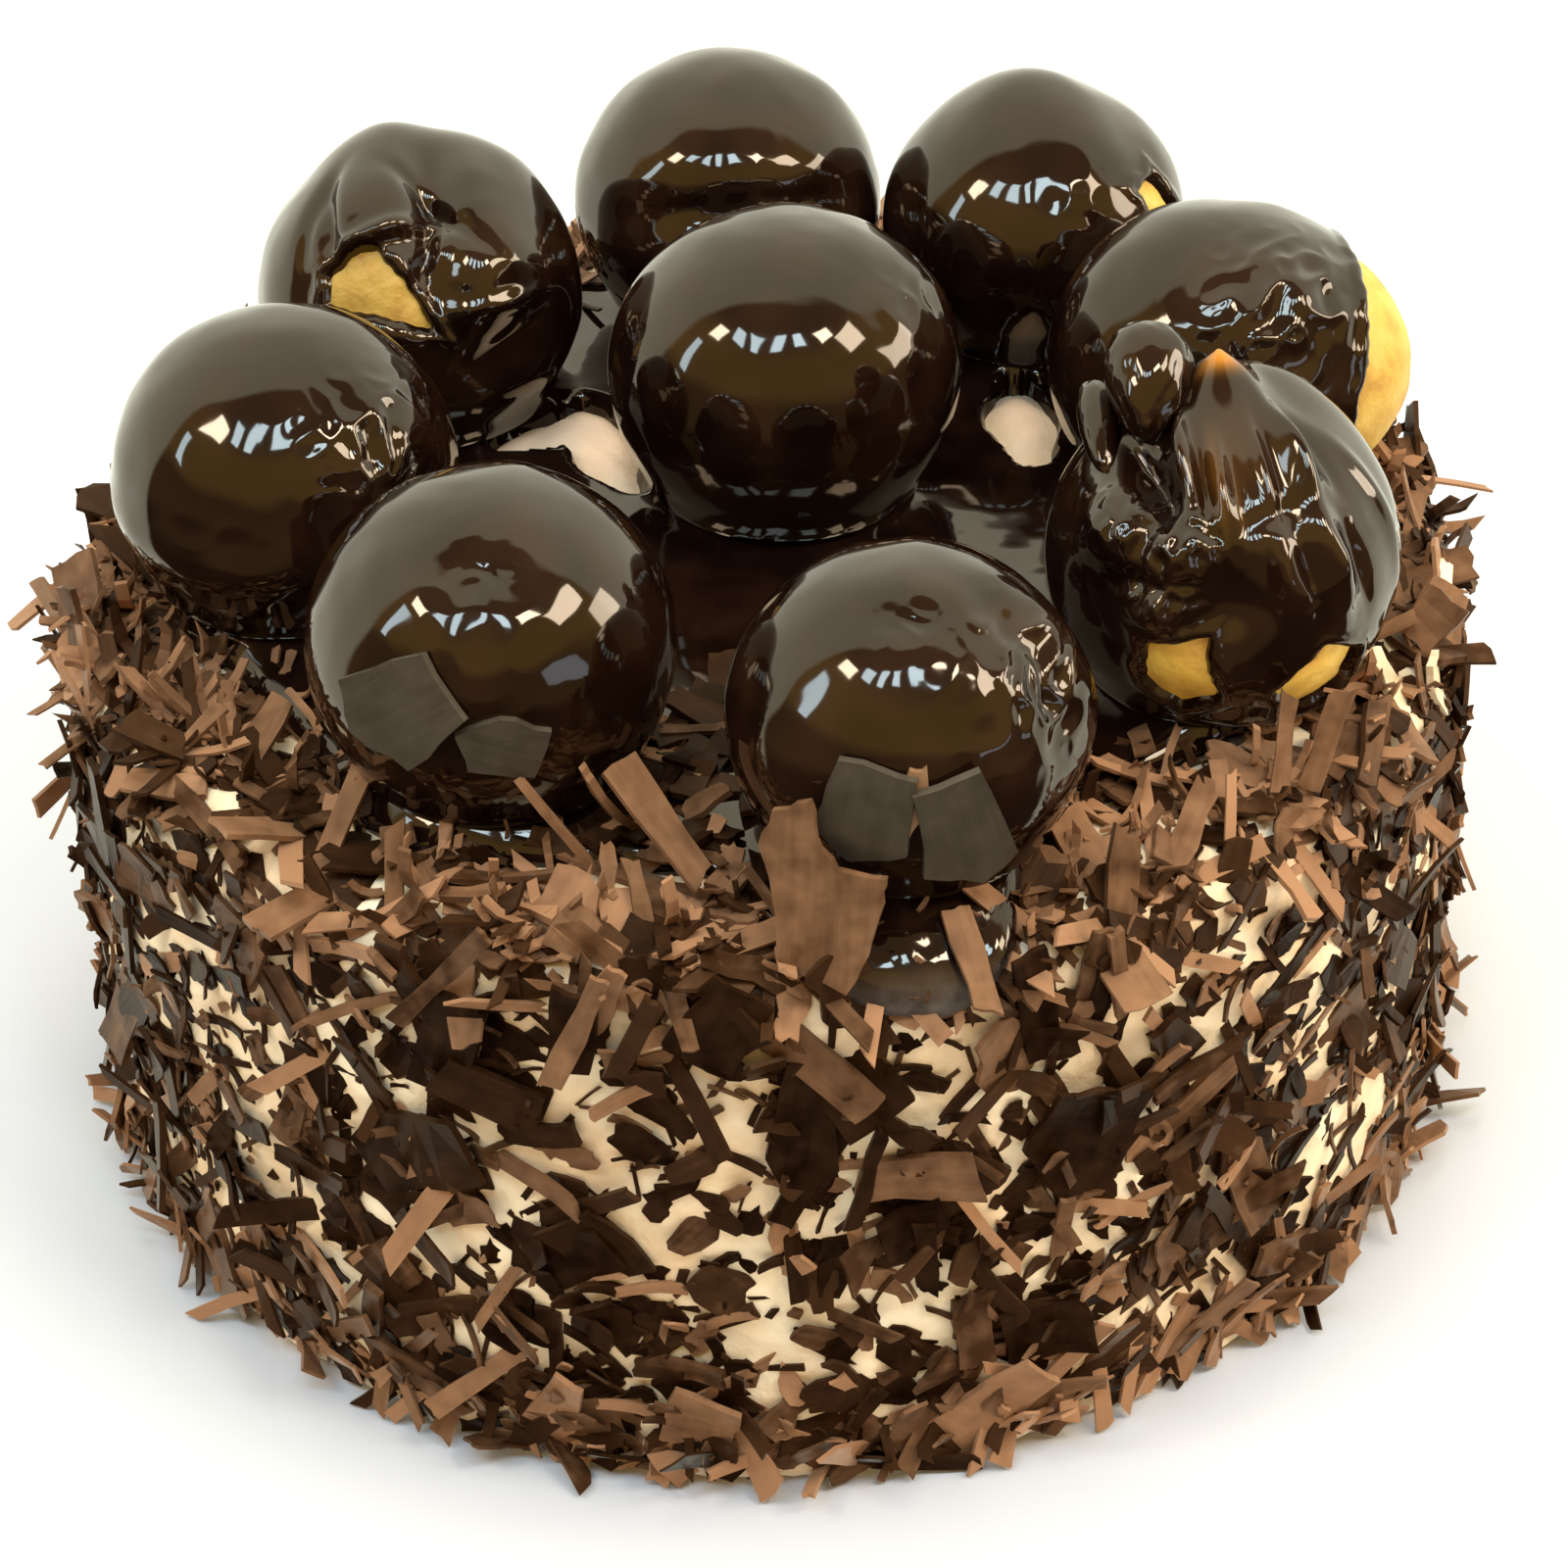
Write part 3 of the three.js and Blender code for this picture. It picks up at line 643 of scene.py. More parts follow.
def glaze_finish():
    material, tree, shader = new_finish("dark_glaze")
    place = object_place(tree)
    clouds = noise_at(tree, place, GLAZE_CLOUDS, 1)
    colour = colour_ramp(tree, clouds, [(0.4, GLAZE_DEEP), (0.7, GLAZE_BROWN)])
    specks = noise_at(tree, place, GLAZE_SPECKS, 2)
    # Where the tongue is dull, grey is painted into the colour as a painted sheen, and the
    # roughness rises.
    dull = calculate(tree, "MULTIPLY", attribute_of(tree, "dull"), specks)
    ripple = bump_of(tree, noise_at(tree, place, GLAZE_RIPPLES, 1), 0.12, 1)
    rough = calculate(tree, "MULTIPLY_ADD", dull, DULL_ROUGH, GLAZE_ROUGH)
    fill(shader, {"Base Color": blend(tree, colour, GLAZE_PAINTED_SHEEN, dull), "Normal": ripple,
                  "Roughness": rough, "IOR": GLAZE_IOR, "Specular Tint": CHOCOLATE_SHEEN})
    return material


dark_glaze = glaze_finish()
print("finish:", dark_glaze.name)

# %% Where the glaze runs
GLAZE_THICK, GLAZE_EDGE, GLAZE_REACH, GLAZE_SUNK = 3.2, 4, 77, 1.5
GLAZE_SKIRT, GLAZE_SKIRT_ANGLE = 9, 14
DRIP_ANGLE, DRIP_WIDTH, DRIP_LENGTH = -80, 11.5, 19.5
BARE_CREAM = [(-23.5, 26, 14, 5.5, 107), (-32, 29, 10, 4.5, 32), (39.5, 29.5, 12, 5, 97)]


def apart(angle, other):
    return (angle - other + 180) % 360 - 180


def glaze_reach(angle):
    reach = GLAZE_REACH + DRIP_LENGTH * flat_bell(apart(angle, DRIP_ANGLE), DRIP_WIDTH)
    for name, bun in BUNS.items():
        if name != "centre":
            x, y, _ = bun["spot"]
            from_bun = apart(angle, math.degrees(math.atan2(y, x)))
            reach = reach + GLAZE_SKIRT * bell(from_bun, GLAZE_SKIRT_ANGLE)
    return reach


def bare_cream_share(points):
    """How far each point lies inside a bare patch: 1 in the middle, 0 on its edge, less outside."""
    share = np.full(len(points), -9.0)
    for x, y, long, wide, turn in BARE_CREAM:
        ahead, aside = turned_by(turn, points[:, 0] - x, points[:, 1] - y)
        share = np.maximum(share, 1 - np.hypot(ahead / long, aside / wide))
    return share


print("the tongue reaches", round(float(glaze_reach(DRIP_ANGLE)), 1), "mm along the surface")

# %% Cream in the bare patches
BARE_SWELL = 3
on_top = cream_all[:, 2] > CAKE_HEIGHT / 2
bare_share = soft_step(-0.1, 0.6, bare_cream_share(cream_all)) * on_top
swelling = BARE_SWELL * bare_share
# The bare patches keep their share of painted bounce light.
keep_values(cream_mesh, "peach", bare_share)
for vertex, rise in zip(cream_mesh.vertices, swelling):
    vertex.co.z += rise * MM
print("cream raised in the bare patches by up to", round(float(swelling.max()), 1), "mm")

# %% Glaze pool
POOL_SIDES, POOL_RINGS, POOL_WAVE, POOL_DEEPEST = 420, 96, 0.3, 3
MENISCUS, MENISCUS_WIDTH, WETTED_FOOT = 1.8, 3.0, 0.68
RIM_WANDER, BARE_WANDER, BARE_DIP = 0.8, 0.3, 2
TONGUE_WIDER, TONGUE_LUMP, TONGUE_GRAIN, TONGUE_DULL_AND_SHEEN = 1.3, 0.6, 0.16, 1.7
pool_angle = np.degrees(np.arange(POOL_SIDES) * 2 * math.pi / POOL_SIDES)
pool_share = np.sin(np.linspace(0.04, 1, POOL_RINGS) * math.pi / 2)
wander = uneven(cake_surface(85, np.radians(pool_angle))[0], 7)
reach = glaze_reach(pool_angle) + RIM_WANDER * wander
pool_along = pool_share[:, None] * reach[None, :]
pool_points, pool_normals, _ = cake_surface(pool_along, np.radians(pool_angle)[None, :])
pool_flat = pool_points.reshape(-1, 3)
edge = np.clip((pool_along - (reach - GLAZE_EDGE)) / GLAZE_EDGE, 0, 1)
pool_height = (GLAZE_THICK * np.sqrt(1 - edge ** 2)).ravel() + POOL_WAVE * uneven(pool_flat, 14)
for bun in BUNS.values():
    x, y, radius = bun["spot"]
    from_foot = np.hypot(pool_flat[:, 0] - x, pool_flat[:, 1] - y) - WETTED_FOOT * radius
    pool_height += MENISCUS * bell(np.maximum(from_foot, 0), MENISCUS_WIDTH)
bare_edge = bare_cream_share(pool_flat) + BARE_WANDER * uneven(pool_flat, 8)
pool_height -= (GLAZE_THICK + BARE_DIP) * soft_step(-0.12, 0.16, bare_edge)
pool_height = np.where(edge.ravel() >= 1, -GLAZE_SUNK, pool_height).reshape(pool_along.shape)
tongue = flat_bell(apart(pool_angle, DRIP_ANGLE), TONGUE_WIDER * DRIP_WIDTH)
tongue = tongue * soft_step(FLAT_TOP - 2, FLAT_TOP + 3, pool_along)
lumps = TONGUE_LUMP * uneven(pool_flat, 5) + TONGUE_GRAIN * uneven(pool_flat, 1.3)
pool_height += tongue * lumps.reshape(tongue.shape)
pool_points += pool_normals * pool_height[..., None]
pool_ends = [[0, 0, CAKE_HEIGHT + GLAZE_THICK], [0, 0, CAKE_HEIGHT - POOL_DEEPEST]]
pool_all = np.concatenate([pool_points.reshape(-1, 3), pool_ends])
pool_mesh = make_mesh("glaze_pool", pool_all, ring_faces(POOL_RINGS, POOL_SIDES), dark_glaze)
# The dull end of the tongue: rougher, with a painted sheen in its colour.
dull_and_sheen_share = TONGUE_DULL_AND_SHEEN * tongue * soft_step(98, 104, pool_along)
keep_values(pool_mesh, "dull", np.append(dull_and_sheen_share.ravel(), [0, 0]))
place_piece(pool_mesh, "chocolate_glaze")

# %% [markdown]
# ## Choux and its coat
# Under the glaze each bun is golden choux. Making both, one just inside the other, means that a
# bare patch needs no painting: there the coat sinks below the choux, with a rounded lip round it.
# Both start from one fine ball whose points are pushed out along their own directions. The coat is
# almost black where it is thick, and orange-brown where it is thin over a peak. The bare choux of
# one bun is darkened as painted shade under its folds, and that of another is made paler as painted
# light.

# %% Bun finishes
COAT_DEEP, COAT_BROWN = (0.006, 0.0021, 0.0011), (0.015, 0.006, 0.003)
COAT_THIN, COAT_CLOUDS, COAT_RIPPLES = (0.58, 0.22, 0.028, 1), 90, 110
CHOUX_GOLD, CHOUX_BROWN = (0.66, 0.385, 0.052), (0.46, 0.215, 0.027)
CHOUX_PALE, CHOUX_CLOUDS, CHOUX_CRUST = (0.78, 0.52, 0.11), 130, 750


def coat_finish():
    material, tree, shader = new_finish("chocolate_coat")
    place = object_place(tree)
    clouds = noise_at(tree, place, COAT_CLOUDS, 1)
    dark = colour_ramp(tree, clouds, [(0.4, COAT_DEEP), (0.7, COAT_BROWN)])
    colour = blend(tree, dark, COAT_THIN, attribute_of(tree, "thin"))
    ripple = bump_of(tree, noise_at(tree, place, COAT_RIPPLES, 1), 0.10, 1)
    fill(shader, {"Base Color": colour, "Normal": ripple, "Roughness": GLAZE_ROUGH,
                  "IOR": GLAZE_IOR, "Specular Tint": CHOCOLATE_SHEEN})
    return material


def choux_finish():
    material, tree, shader = new_finish("choux")
    place = object_place(tree)
    tones = [(0.3, CHOUX_BROWN), (0.48, CHOUX_GOLD), (0.7, CHOUX_PALE)]
    baked = colour_ramp(tree, noise_at(tree, place, CHOUX_CLOUDS, 5), tones)
    # Painted light and shade: the choux of a bun is made darker or paler as a whole.
    inputs = {"Color": baked, "Value": attribute_of(tree, "paleness")}
    shaded = add_node(tree, "ShaderNodeHueSaturation", inputs, "Color")
    crust = bump_of(tree, noise_at(tree, place, CHOUX_CRUST, 4), 0.5, 0.5)
    fill(shader, {"Base Color": shaded, "Normal": crust, "Roughness": 0.55})
    return material


chocolate_coat, choux = coat_finish(), choux_finish()
print("finishes of a bun:", chocolate_coat.name, choux.name)


# %% A fine ball
def fine_ball(subdivisions):
    ball = bmesh.new()
    bmesh.ops.create_icosphere(ball, subdivisions=subdivisions, radius=1)
    points = np.array([vert.co for vert in ball.verts])
    faces = [[vert.index for vert in face.verts] for face in ball.faces]
    ball.free()
    return points / np.linalg.norm(points, axis=1)[:, None], faces


coat_ball, choux_ball = fine_ball(7), fine_ball(6)
print("points of a coat:", len(coat_ball[0]), "of a choux ball:", len(choux_ball[0]))

# %% Shaping a bun
COAT_THICK, COAT_SUNK, EDGE_SOFT, LUMPY, RIPPLE = 1.1, 1.0, 0.9, 0.3, 0.06
COAT_LIP, LIP_OUT, LIP_WIDTH, RAGGED, RAGGED_SIZE = 0.5, 1.8, 1.1, 0.8, 3.5
SKIRT_ELEVATION, SKIRT_WIDTH, SKIRT_RISE = -40, 7, 0.9
RIDGE_SHARP, RIDGE_FLOOR, FAINT = 2.4, -0.6, 0.02


def crumple(directions, radius, azimuth, elevation, spread, rise, size):
    share = bell(degrees_from(directions, azimuth, elevation), spread)
    near = share > FAINT
    ridge = 1 - RIDGE_SHARP * np.abs(uneven(directions[near] * radius, size, 1))
    moved = np.zeros(len(directions))
    moved[near] = rise * share[near] * np.maximum(ridge, RIDGE_FLOOR)
    return moved


def bun_points(bun, directions, reach):
    pushed = directions * reach[:, None]
    pushed[:, 2] = np.maximum(pushed[:, 2], -BUN_FOOT * bun["spot"][2])
    return pushed + bun_centre(bun)


def coat_reach(bun, directions):
    radius = bun["spot"][2]
    round_ball, in_cake = directions * radius, directions * radius + bun_centre(bun)
    reach = bun_reach(bun, directions) + LUMPY * uneven(in_cake, 13)
    reach += RIPPLE * uneven(in_cake, 5, 1)
    reach += marks_rise(bun, "pleats", directions)
    for wrinkle in bun.get("wrinkles", []):
        reach += crumple(directions, radius, *wrinkle)
    for azimuth, elevation, rise, spread in bun.get("tips", []):
        reach += rise * np.exp(-degrees_from(directions, azimuth, elevation) / spread)
    height = np.degrees(np.arcsin(directions[:, 2]))
    reach += SKIRT_RISE * bell(height - SKIRT_ELEVATION, SKIRT_WIDTH)
    for corners in bun.get("bare", []):
        inside = depth_inside(directions, corners, radius)
        inside = inside + RAGGED * uneven(round_ball, RAGGED_SIZE)
        reach -= (COAT_THICK + COAT_SUNK) * soft_step(-EDGE_SOFT, EDGE_SOFT, inside)
        reach += COAT_LIP * bell(inside + LIP_OUT, LIP_WIDTH)
    return reach


# %% Nine buns
CRUST_LUMP, CRUST_RADIUS, KNOB_LUMP, LUMP_WIDE = 0.25, 24, 0.05, 5
for name, bun in BUNS.items():
    node = f"profiterole_{name}"
    directions, faces = choux_ball
    hollows = np.minimum(marks_rise(bun, "pleats", directions), 0)
    inner = bun_reach(bun, directions) - COAT_THICK + hollows
    inner += CRUST_LUMP * uneven(directions * CRUST_RADIUS, LUMP_WIDE)
    choux_mesh = make_mesh(f"bun_{name}_choux", bun_points(bun, directions, inner), faces, choux)
    # Each bun's level of painted light or shade for its choux.
    keep_values(choux_mesh, "paleness", np.full(len(directions), bun.get("paleness", 1.0)))
    place_piece(choux_mesh, node)
    directions, faces = coat_ball
    coated = bun_points(bun, directions, coat_reach(bun, directions))
    coat_mesh = make_mesh(f"bun_{name}_coat", coated, faces, chocolate_coat)
    keep_values(coat_mesh, "thin", np.clip(marks_rise(bun, "thin", directions), 0, 1))
    place_piece(coat_mesh, node)
    directions, faces = choux_ball
    for number, (azimuth, elevation, out, wide, tall, pointing) in enumerate(bun.get("knobs", [])):
        middle = bun_centre(bun) + out * ball_facing(azimuth, elevation)[0]
        along, level, climb = ball_facing(*pointing)
        lumpy = 1 + KNOB_LUMP * uneven(directions * tall, LUMP_WIDE)
        flare = wide * (1 + KNOB_FLARE * directions[:, 2])
        egg = directions * np.stack([flare, flare, np.full(len(flare), tall)], 1) * lumpy[:, None]
        knob = egg @ np.array([level, climb, along]) + middle
        knob_mesh = make_mesh(f"bun_{name}_knob_{number}", knob, faces, chocolate_coat)
        keep_values(knob_mesh, "thin", np.zeros(len(egg)))
        place_piece(knob_mesh, node)

# %% [markdown]
# ## The large flakes
# The largest flakes are part of the cake's solid, so they are cut and laid by the same rule here:
# first the single shards, then four kinds spread evenly round the cake. Their corners come from the
# CAD model's own draw. A second draw breaks their edges, bends them and picks their tone, so that
# the first series keeps its order. Near the rim and the foot the tone is paler, as painted light.
# A flake that would cut into a bun is left out, as in the CAD.

# %% Rules for the large flakes
FLAKE_SEED, SHARD_CORNERS, FLAKE_CORNERS, FLAKE_BURIED, FLAKE_FLOOR = 4171, 5, 4, 0.25, 0.5
FLAKE_THICK, FLAKE_CURL, FLAKE_TWIST, FLAKE_CHIPPED = (0.7, 1.2), (-0.4, 1.2), (-0.18, 0.18), 0.45
RIM_BAND, SIDE_BAND = (84, 106), (94, 186)
# Each kind: how many, band, corners, then the least and most length, width and lift.
FLAKE_KINDS = [
    (66, SIDE_BAND, 4, (12, 20), (7, 12), (3, 13)),
    (26, RIM_BAND, 4, (10, 18), (3, 7), (8, 40)),
    (52, SIDE_BAND, 4, (12, 22), (2.6, 4.4), (4, 18)),
    (34, SIDE_BAND, 3, (7, 12), (5, 8), (8, 34)),
]
# Each single flake: along, angle, spin, lift, length, width and tone.
SHARDS = [
    (99, -17, 20, 22, 16, 11, 0.75), (100, -172, 150, 22, 16, 11, 0.6),
    (107, -95, 40, 8, 13, 10, 0.15), (106, -104, 65, 8, 17, 5, 0.8),
    (111, -66, 80, 8, 20, 4.5, 0.5), (130, -88, 86, 3, 27, 10, 0.05),
    (137, -122, 20, 4, 22, 13, 0.15), (137, -67, 70, 4, 19, 16, 0.05),
    (149, -109, 30, 6, 17, 11, 0.05), (181, -76, 48, 12, 24, 10, 0.95),
    (180, -97, 76, 14, 17, 10, 0.8), (180, -109, 68, 14, 20, 8, 0.9),
]


def part_way(band, share):
    return band[0] + share * (band[1] - band[0])


def meets_a_bun(points):
    from_buns = [(np.linalg.norm(points - bun_centre(bun), axis=1), bun) for bun in BUNS.values()]
    return any((distances < bun["spot"][2]).any() for distances, bun in from_buns)


def flake_on_cake(heap, corners, along, angle, spin, lift, long, tone, chance, off=0.0):
    chipped = broken_edges(corners, chance, 2, FLAKE_CHIPPED)
    outline = [(x + long * (0.5 - FLAKE_BURIED), y) for x, y in chipped]
    thick, curl = between(*FLAKE_THICK, chance), between(*FLAKE_CURL, chance)
    shape = flake_shape(outline, thick, curl, 2, between(*FLAKE_TWIST, chance))
    point, normal, climb = cake_surface(along, math.radians(angle))
    place = resting_place(point + normal * off, normal, climb, spin, lift)
    laid = shape[0] @ np.array(place.to_3x3()).T + np.array(place.translation)
    place.translation.z += max(FLAKE_FLOOR - laid[:, 2].min(), 0)
    if not meets_a_bun(laid):
        lay_flake(heap, shape, place, tone)


def lay_rows(heap, rows, corner_count, cut, chance):
    for along, angle, spin, lift, long, wide, tone, *off in rows:
        corners = flake_corners(long, wide, corner_count, cut)
        flake_on_cake(heap, corners, along, angle, spin, lift, long, tone, chance, *off)


def place_flakes(name, heap, finish=shaved_chocolate):
    print(f"{name}: {len(heap['tone'])} laid")
    place_piece(heap_mesh(name, heap, finish), "cake")


# %% Large flakes
LARGE_TONE, PAINTED_EDGE_LIGHT, LIGHT_RANGE, RIM_MIDDLE = 0.7, 0.45, (0.2, 1.6), 94
large_heap, cut, chance = new_heap(), seeded_draw(FLAKE_SEED), seeded_draw(90125)
lay_rows(large_heap, SHARDS, SHARD_CORNERS, cut, chance)
index = 0
for count, band, corner_count, lengths, widths, lifts in FLAKE_KINDS:
    for _ in range(count):
        turn, share = even_pair(index)
        along, spin = part_way(band, share), 360 * cut()
        lift, long, wide = (between(*limits, cut) for limits in (lifts, lengths, widths))
        corners = flake_corners(long, wide, corner_count, cut)
        # Painted light: near the rim, where light falls from above, and near the foot, the tone is
        # paler.
        painted_edge_light = PAINTED_EDGE_LIGHT * float(bell(along - RIM_MIDDLE, 12) + bell(along - FOOT_ALONG, 14))
        tone = LARGE_TONE * chance() ** 1.5 + painted_edge_light * between(*LIGHT_RANGE, chance)
        flake_on_cake(large_heap, corners, along, 360 * turn, spin, lift, long, tone, chance)
        index += 1
place_flakes("flakes_large", large_heap)

# %% [markdown]
# ## Single flakes that catch the eye
# A few flakes are large or bright enough to be remembered: pale sticks that lean out of the rim, a
# tan strip over the tongue of glaze, dark plates on the side, four plates stuck to the two front
# buns, and the big shard that leans against the front one. They are placed one by one, and so are
# three smears of cream. Dark flakes fill the gap between the two front buns, and their darkness
# there is painted shade.

# %% Placed flakes on the cake
# Each one: along, angle, spin, lift, length, width, tone and the height over the cream, if any.
PLACED = [
    (83, -108, -151, 60, 20, 2.4, 0.8, 6.2), (76, -105, -128, 60, 17, 1.6, 0.75, 5.8),
    (81, -98, 146, 40, 20, 6, 0.7, 5.2), (93, -116, 20, 6, 10, 2.4, 0.7, 2.3),
    (87, -112, 15, 12, 10, 1.6, 0.6, 2.5), (99, -121, 53, 17, 12, 3.7, 0.55),
    (106, -117, 53, 3, 27, 2.9, 0.5, 2), (95, -110, 170, 30, 8, 2, 0.8, 2),
    (96, -106, 60, 24, 8, 6, 0.65, 2), (86, -104, 106, 32, 10, 2.1, 0.75, 1.6),
    (88, -101, 117, 40, 11, 2.6, 0.65, 1.6), (113, -106, 68, 2, 27, 3.7, 0.7, 2.2),
    (109, -101, 66, 3, 16, 3.4, 0.3, 2), (70, -98, 22, 30, 8, 4, 0.6, 4.4),
    (84, -94, 56, 7, 9, 5, 0.6, 2.6), (110, -105, 85, 3, 18, 8.5, 0.05, 1.4),
    (108, -95, 60, 2, 17, 11, 0.08, 1.4), (117, -116, 71, 3, 21, 9, 0.02, 1.4),
    (98, -169, 124, 50, 10, 5, 0.55, 3), (98, -165, -86, 70, 8, 3, 0.8, 2),
    (94, -150, -145, 21, 13, 5, 0.3, 2), (87, -145, 113, 25, 13, 5, 0.65, 2),
    (93, -155, -158, 38, 12, 2, 0.75, 2), (92, -158, 110, 38, 11, 1.6, 0.75, 2),
    (90, -153, -133, 48, 11, 1.6, 0.7, 2), (120, -165, 70, 3, 29, 5, 0.15, 1.6),
    (117, -156, 81, 3, 26, 5, 0.1, 1.6), (129, -153, 83, 3, 28, 4, 0.15, 1.6),
    (96, -17, -24, 60, 11, 8, 0.65, 2.6), (94, -43, 45, 56, 16, 3, 0.65, 6),
    (95, -39, 24, 50, 15, 4, 0.6, 4.6), (140, -146, 98, 6, 14, 6, 0.55),
    (99, -138, 167, 8, 18, 3, 0.5), (113, -69, 100, 5, 22, 6, 0.05), (96, -36, 6, 18, 14, 5, 0.55),
    (99, -31, 40, 16, 12, 4, 0.6), (98, -61, 109, 6, 10, 5, 0.15), (99, -98, 10, 8, 11, 4, 0.5),
    (128, -58, 9, 6, 17, 3, 0.35), (127, -110, 19, 4, 14, 4, 0.1), (142, -132, 16, 6, 20, 5, 0.35),
    (97, -168, 14, 16, 18, 5, 0.5), (92, -157, 87, 12, 14, 4, 0.55),
    (100, -62, 71, 10, 19, 4.6, 0.55), (121, -131, 117, 6, 14, 3, 0.4),
    (108, -63, 99, 3, 16, 3, 0.6, 2), (95, -55, 35, 5, 18, 4, 0.65, 2.8),
    (99, -35, 33, 4, 15, 3.4, 0.5, 3), (136, -84, 75, 3, 22, 2.6, 0.1, 1.6),
    (128, -59, 15, 3, 15, 2.4, 0.4, 1.6), (125, -79, 137, 3, 11, 4, 0.15, 1.6),
    (97, -75, 272, 3, 17, 4.5, 0.7, GLAZE_THICK + 0.5),
    (52, -103, 15, 5, 12, 2.2, 0.5, GLAZE_THICK + 0.6),
    (59, -104, -19, 2, 9, 1.6, 0.85, GLAZE_THICK + 0.5),
    (42, -98, 100, 20, 10, 5, 0.1, GLAZE_THICK + 0.8),
]
placed_heap, cut = new_heap(), seeded_draw(611)
lay_rows(placed_heap, PLACED, FLAKE_CORNERS, cut, chance)
place_flakes("flakes_placed", placed_heap)

# %% Smears of cream over the rim
SMEAR_CORNERS = 6
SMEARS = [(99, -13, 25, 24, 15, 5, 0), (103, -19, 110, 12, 12, 4, 0), (97, -24, 70, 18, 10, 3.5, 0)]
smear_heap, cut = new_heap(), seeded_draw(733)
lay_rows(smear_heap, SMEARS, SMEAR_CORNERS, cut, chance)
place_flakes("cream_smears", smear_heap, cream)

# %% Plates stuck to the front buns
PLATE_TONE, SLIVER_TONE, PLATE_THICK, PLATE_CURL, PLATE_CHIPPED = 0.3, 0.85, 1.2, -0.5, 0.5
bun_cut = seeded_draw(FLAKE_SEED + 1)
for name, bun in BUNS.items():
    heap = new_heap()
    plates = [(*plate, PLATE_TONE) for plate in bun.get("flakes", [])]
    plates += [(*sliver, SLIVER_TONE) for sliver in bun.get("slivers", [])]
    for azimuth, elevation, spin, long, wide, tone in plates:
        normal, _, climb = ball_facing(azimuth, elevation)
        point = bun_centre(bun) + normal * bun_reach(bun, normal[None, :])[0]
        corners = flake_corners(long, wide, SHARD_CORNERS, bun_cut)
        outline = broken_edges(corners, chance, 2, PLATE_CHIPPED)
        shape = flake_shape(outline, PLATE_THICK, PLATE_CURL, 3)
        lay_flake(heap, shape, resting_place(point, normal, climb, spin, 0), tone)
    if heap["count"]:
        plates_mesh = heap_mesh(f"bun_{name}_flakes", heap, satin_chocolate)
        place_piece(plates_mesh, f"profiterole_{name}")

# %% The leaning shard
LEANING_FOOT, LEANING_FACE, LEANING_TONE = (10.3, -101.5, 88.7), (-107, 11.5), 0.61
LEANING_THICK, LEANING_CURL, LEANING_CHIPPED = 1.3, 0.5, 0.35
LEANING_OUTLINE = [(0, 0), (2.4, 5.5), (4.2, 13.5), (4.4, 17.4), (-2.2, 17.6), (-5, 21.5),
                   (-6, 27), (-11, 24.8), (-12.8, 19.5), (-10.6, 12), (-9.6, 3.4), (-4.4, 1.4)]
lean_heap = new_heap()
normal, _, climb = ball_facing(*LEANING_FACE)
upright = [(up, -sideways) for sideways, up in LEANING_OUTLINE]
outline = broken_edges(upright, chance, 2, LEANING_CHIPPED)
shape = flake_shape(outline, LEANING_THICK, LEANING_CURL, 4)
lay_flake(lean_heap, shape, resting_place(LEANING_FOOT, normal, climb, 90, 0), LEANING_TONE)
place_piece(heap_mesh("leaning_shard", lean_heap), "chocolate_shard")

# %% Dark flakes in the gap between the front buns, their darkness painted shade
GAP_FLAKES, GAP_ALONG, GAP_ANGLE, GAP_OFF = 26, (46, 80), (-106, -87), GLAZE_THICK + 0.2
GAP_LENGTH, GAP_WIDTH, GAP_PAINTED_SHADE_TONE, GAP_LIFT = (7, 12), (3, 7), 0.35, 12
gap_heap, cut = new_heap(), seeded_draw(828)
for index in range(GAP_FLAKES):
    share, turn = even_pair(index)
    along, angle = part_way(GAP_ALONG, share), part_way(GAP_ANGLE, turn)
    long, wide, tone = between(*GAP_LENGTH, cut), between(*GAP_WIDTH, cut), GAP_PAINTED_SHADE_TONE * cut() ** 3
    corners = flake_corners(long, wide, FLAKE_CORNERS, cut)
    spin, lift = 360 * cut(), GAP_LIFT * cut()
    flake_on_cake(gap_heap, corners, along, angle, spin, lift, long, tone, cut, GAP_OFF)
place_flakes("flakes_in_gap", gap_heap)

# %% [markdown]
# ## Thousands of small flakes
# Between the large flakes the cake carries thousands of smaller ones. Geometry Nodes scatter them:
# points are spread over the cream and the edge of the pool, each gets one of a few flakes, turned,
# lifted and scaled by chance, with its own tone. Values kept on these beds steer it: COVER, RIM,
# SIDE and FOOT say how thickly a kind lies, so that cream shows in patches, and PAINTED_LIGHT is
# painted light: it makes the flakes at the rim paler, as if lit from above, and those at the foot
# paler too, and keeps them darker at the front left of the rim and on the pool's edge, as painted
# shade.

# %% Where flakes lie thick or thin
TUFT_ANGLE, TUFT_WIDTH, RIM_ALONG, RIM_WIDTH, SPOT_WEIGHT = -158, 20, 93, 9, 0.74
# The flakes at the front left of the rim get painted shade, and those on the pool's edge get little
# painted light, as painted shade of the buns.
SHADED_RIM_ANGLE, SHADED_RIM_WIDTH, POOL_PAINTED_LIGHT = -142, 26, 0.16
FRONT_GAP_ANGLE, EDGE_FLAKES, GAP_EXTRA = -104, 9, 26
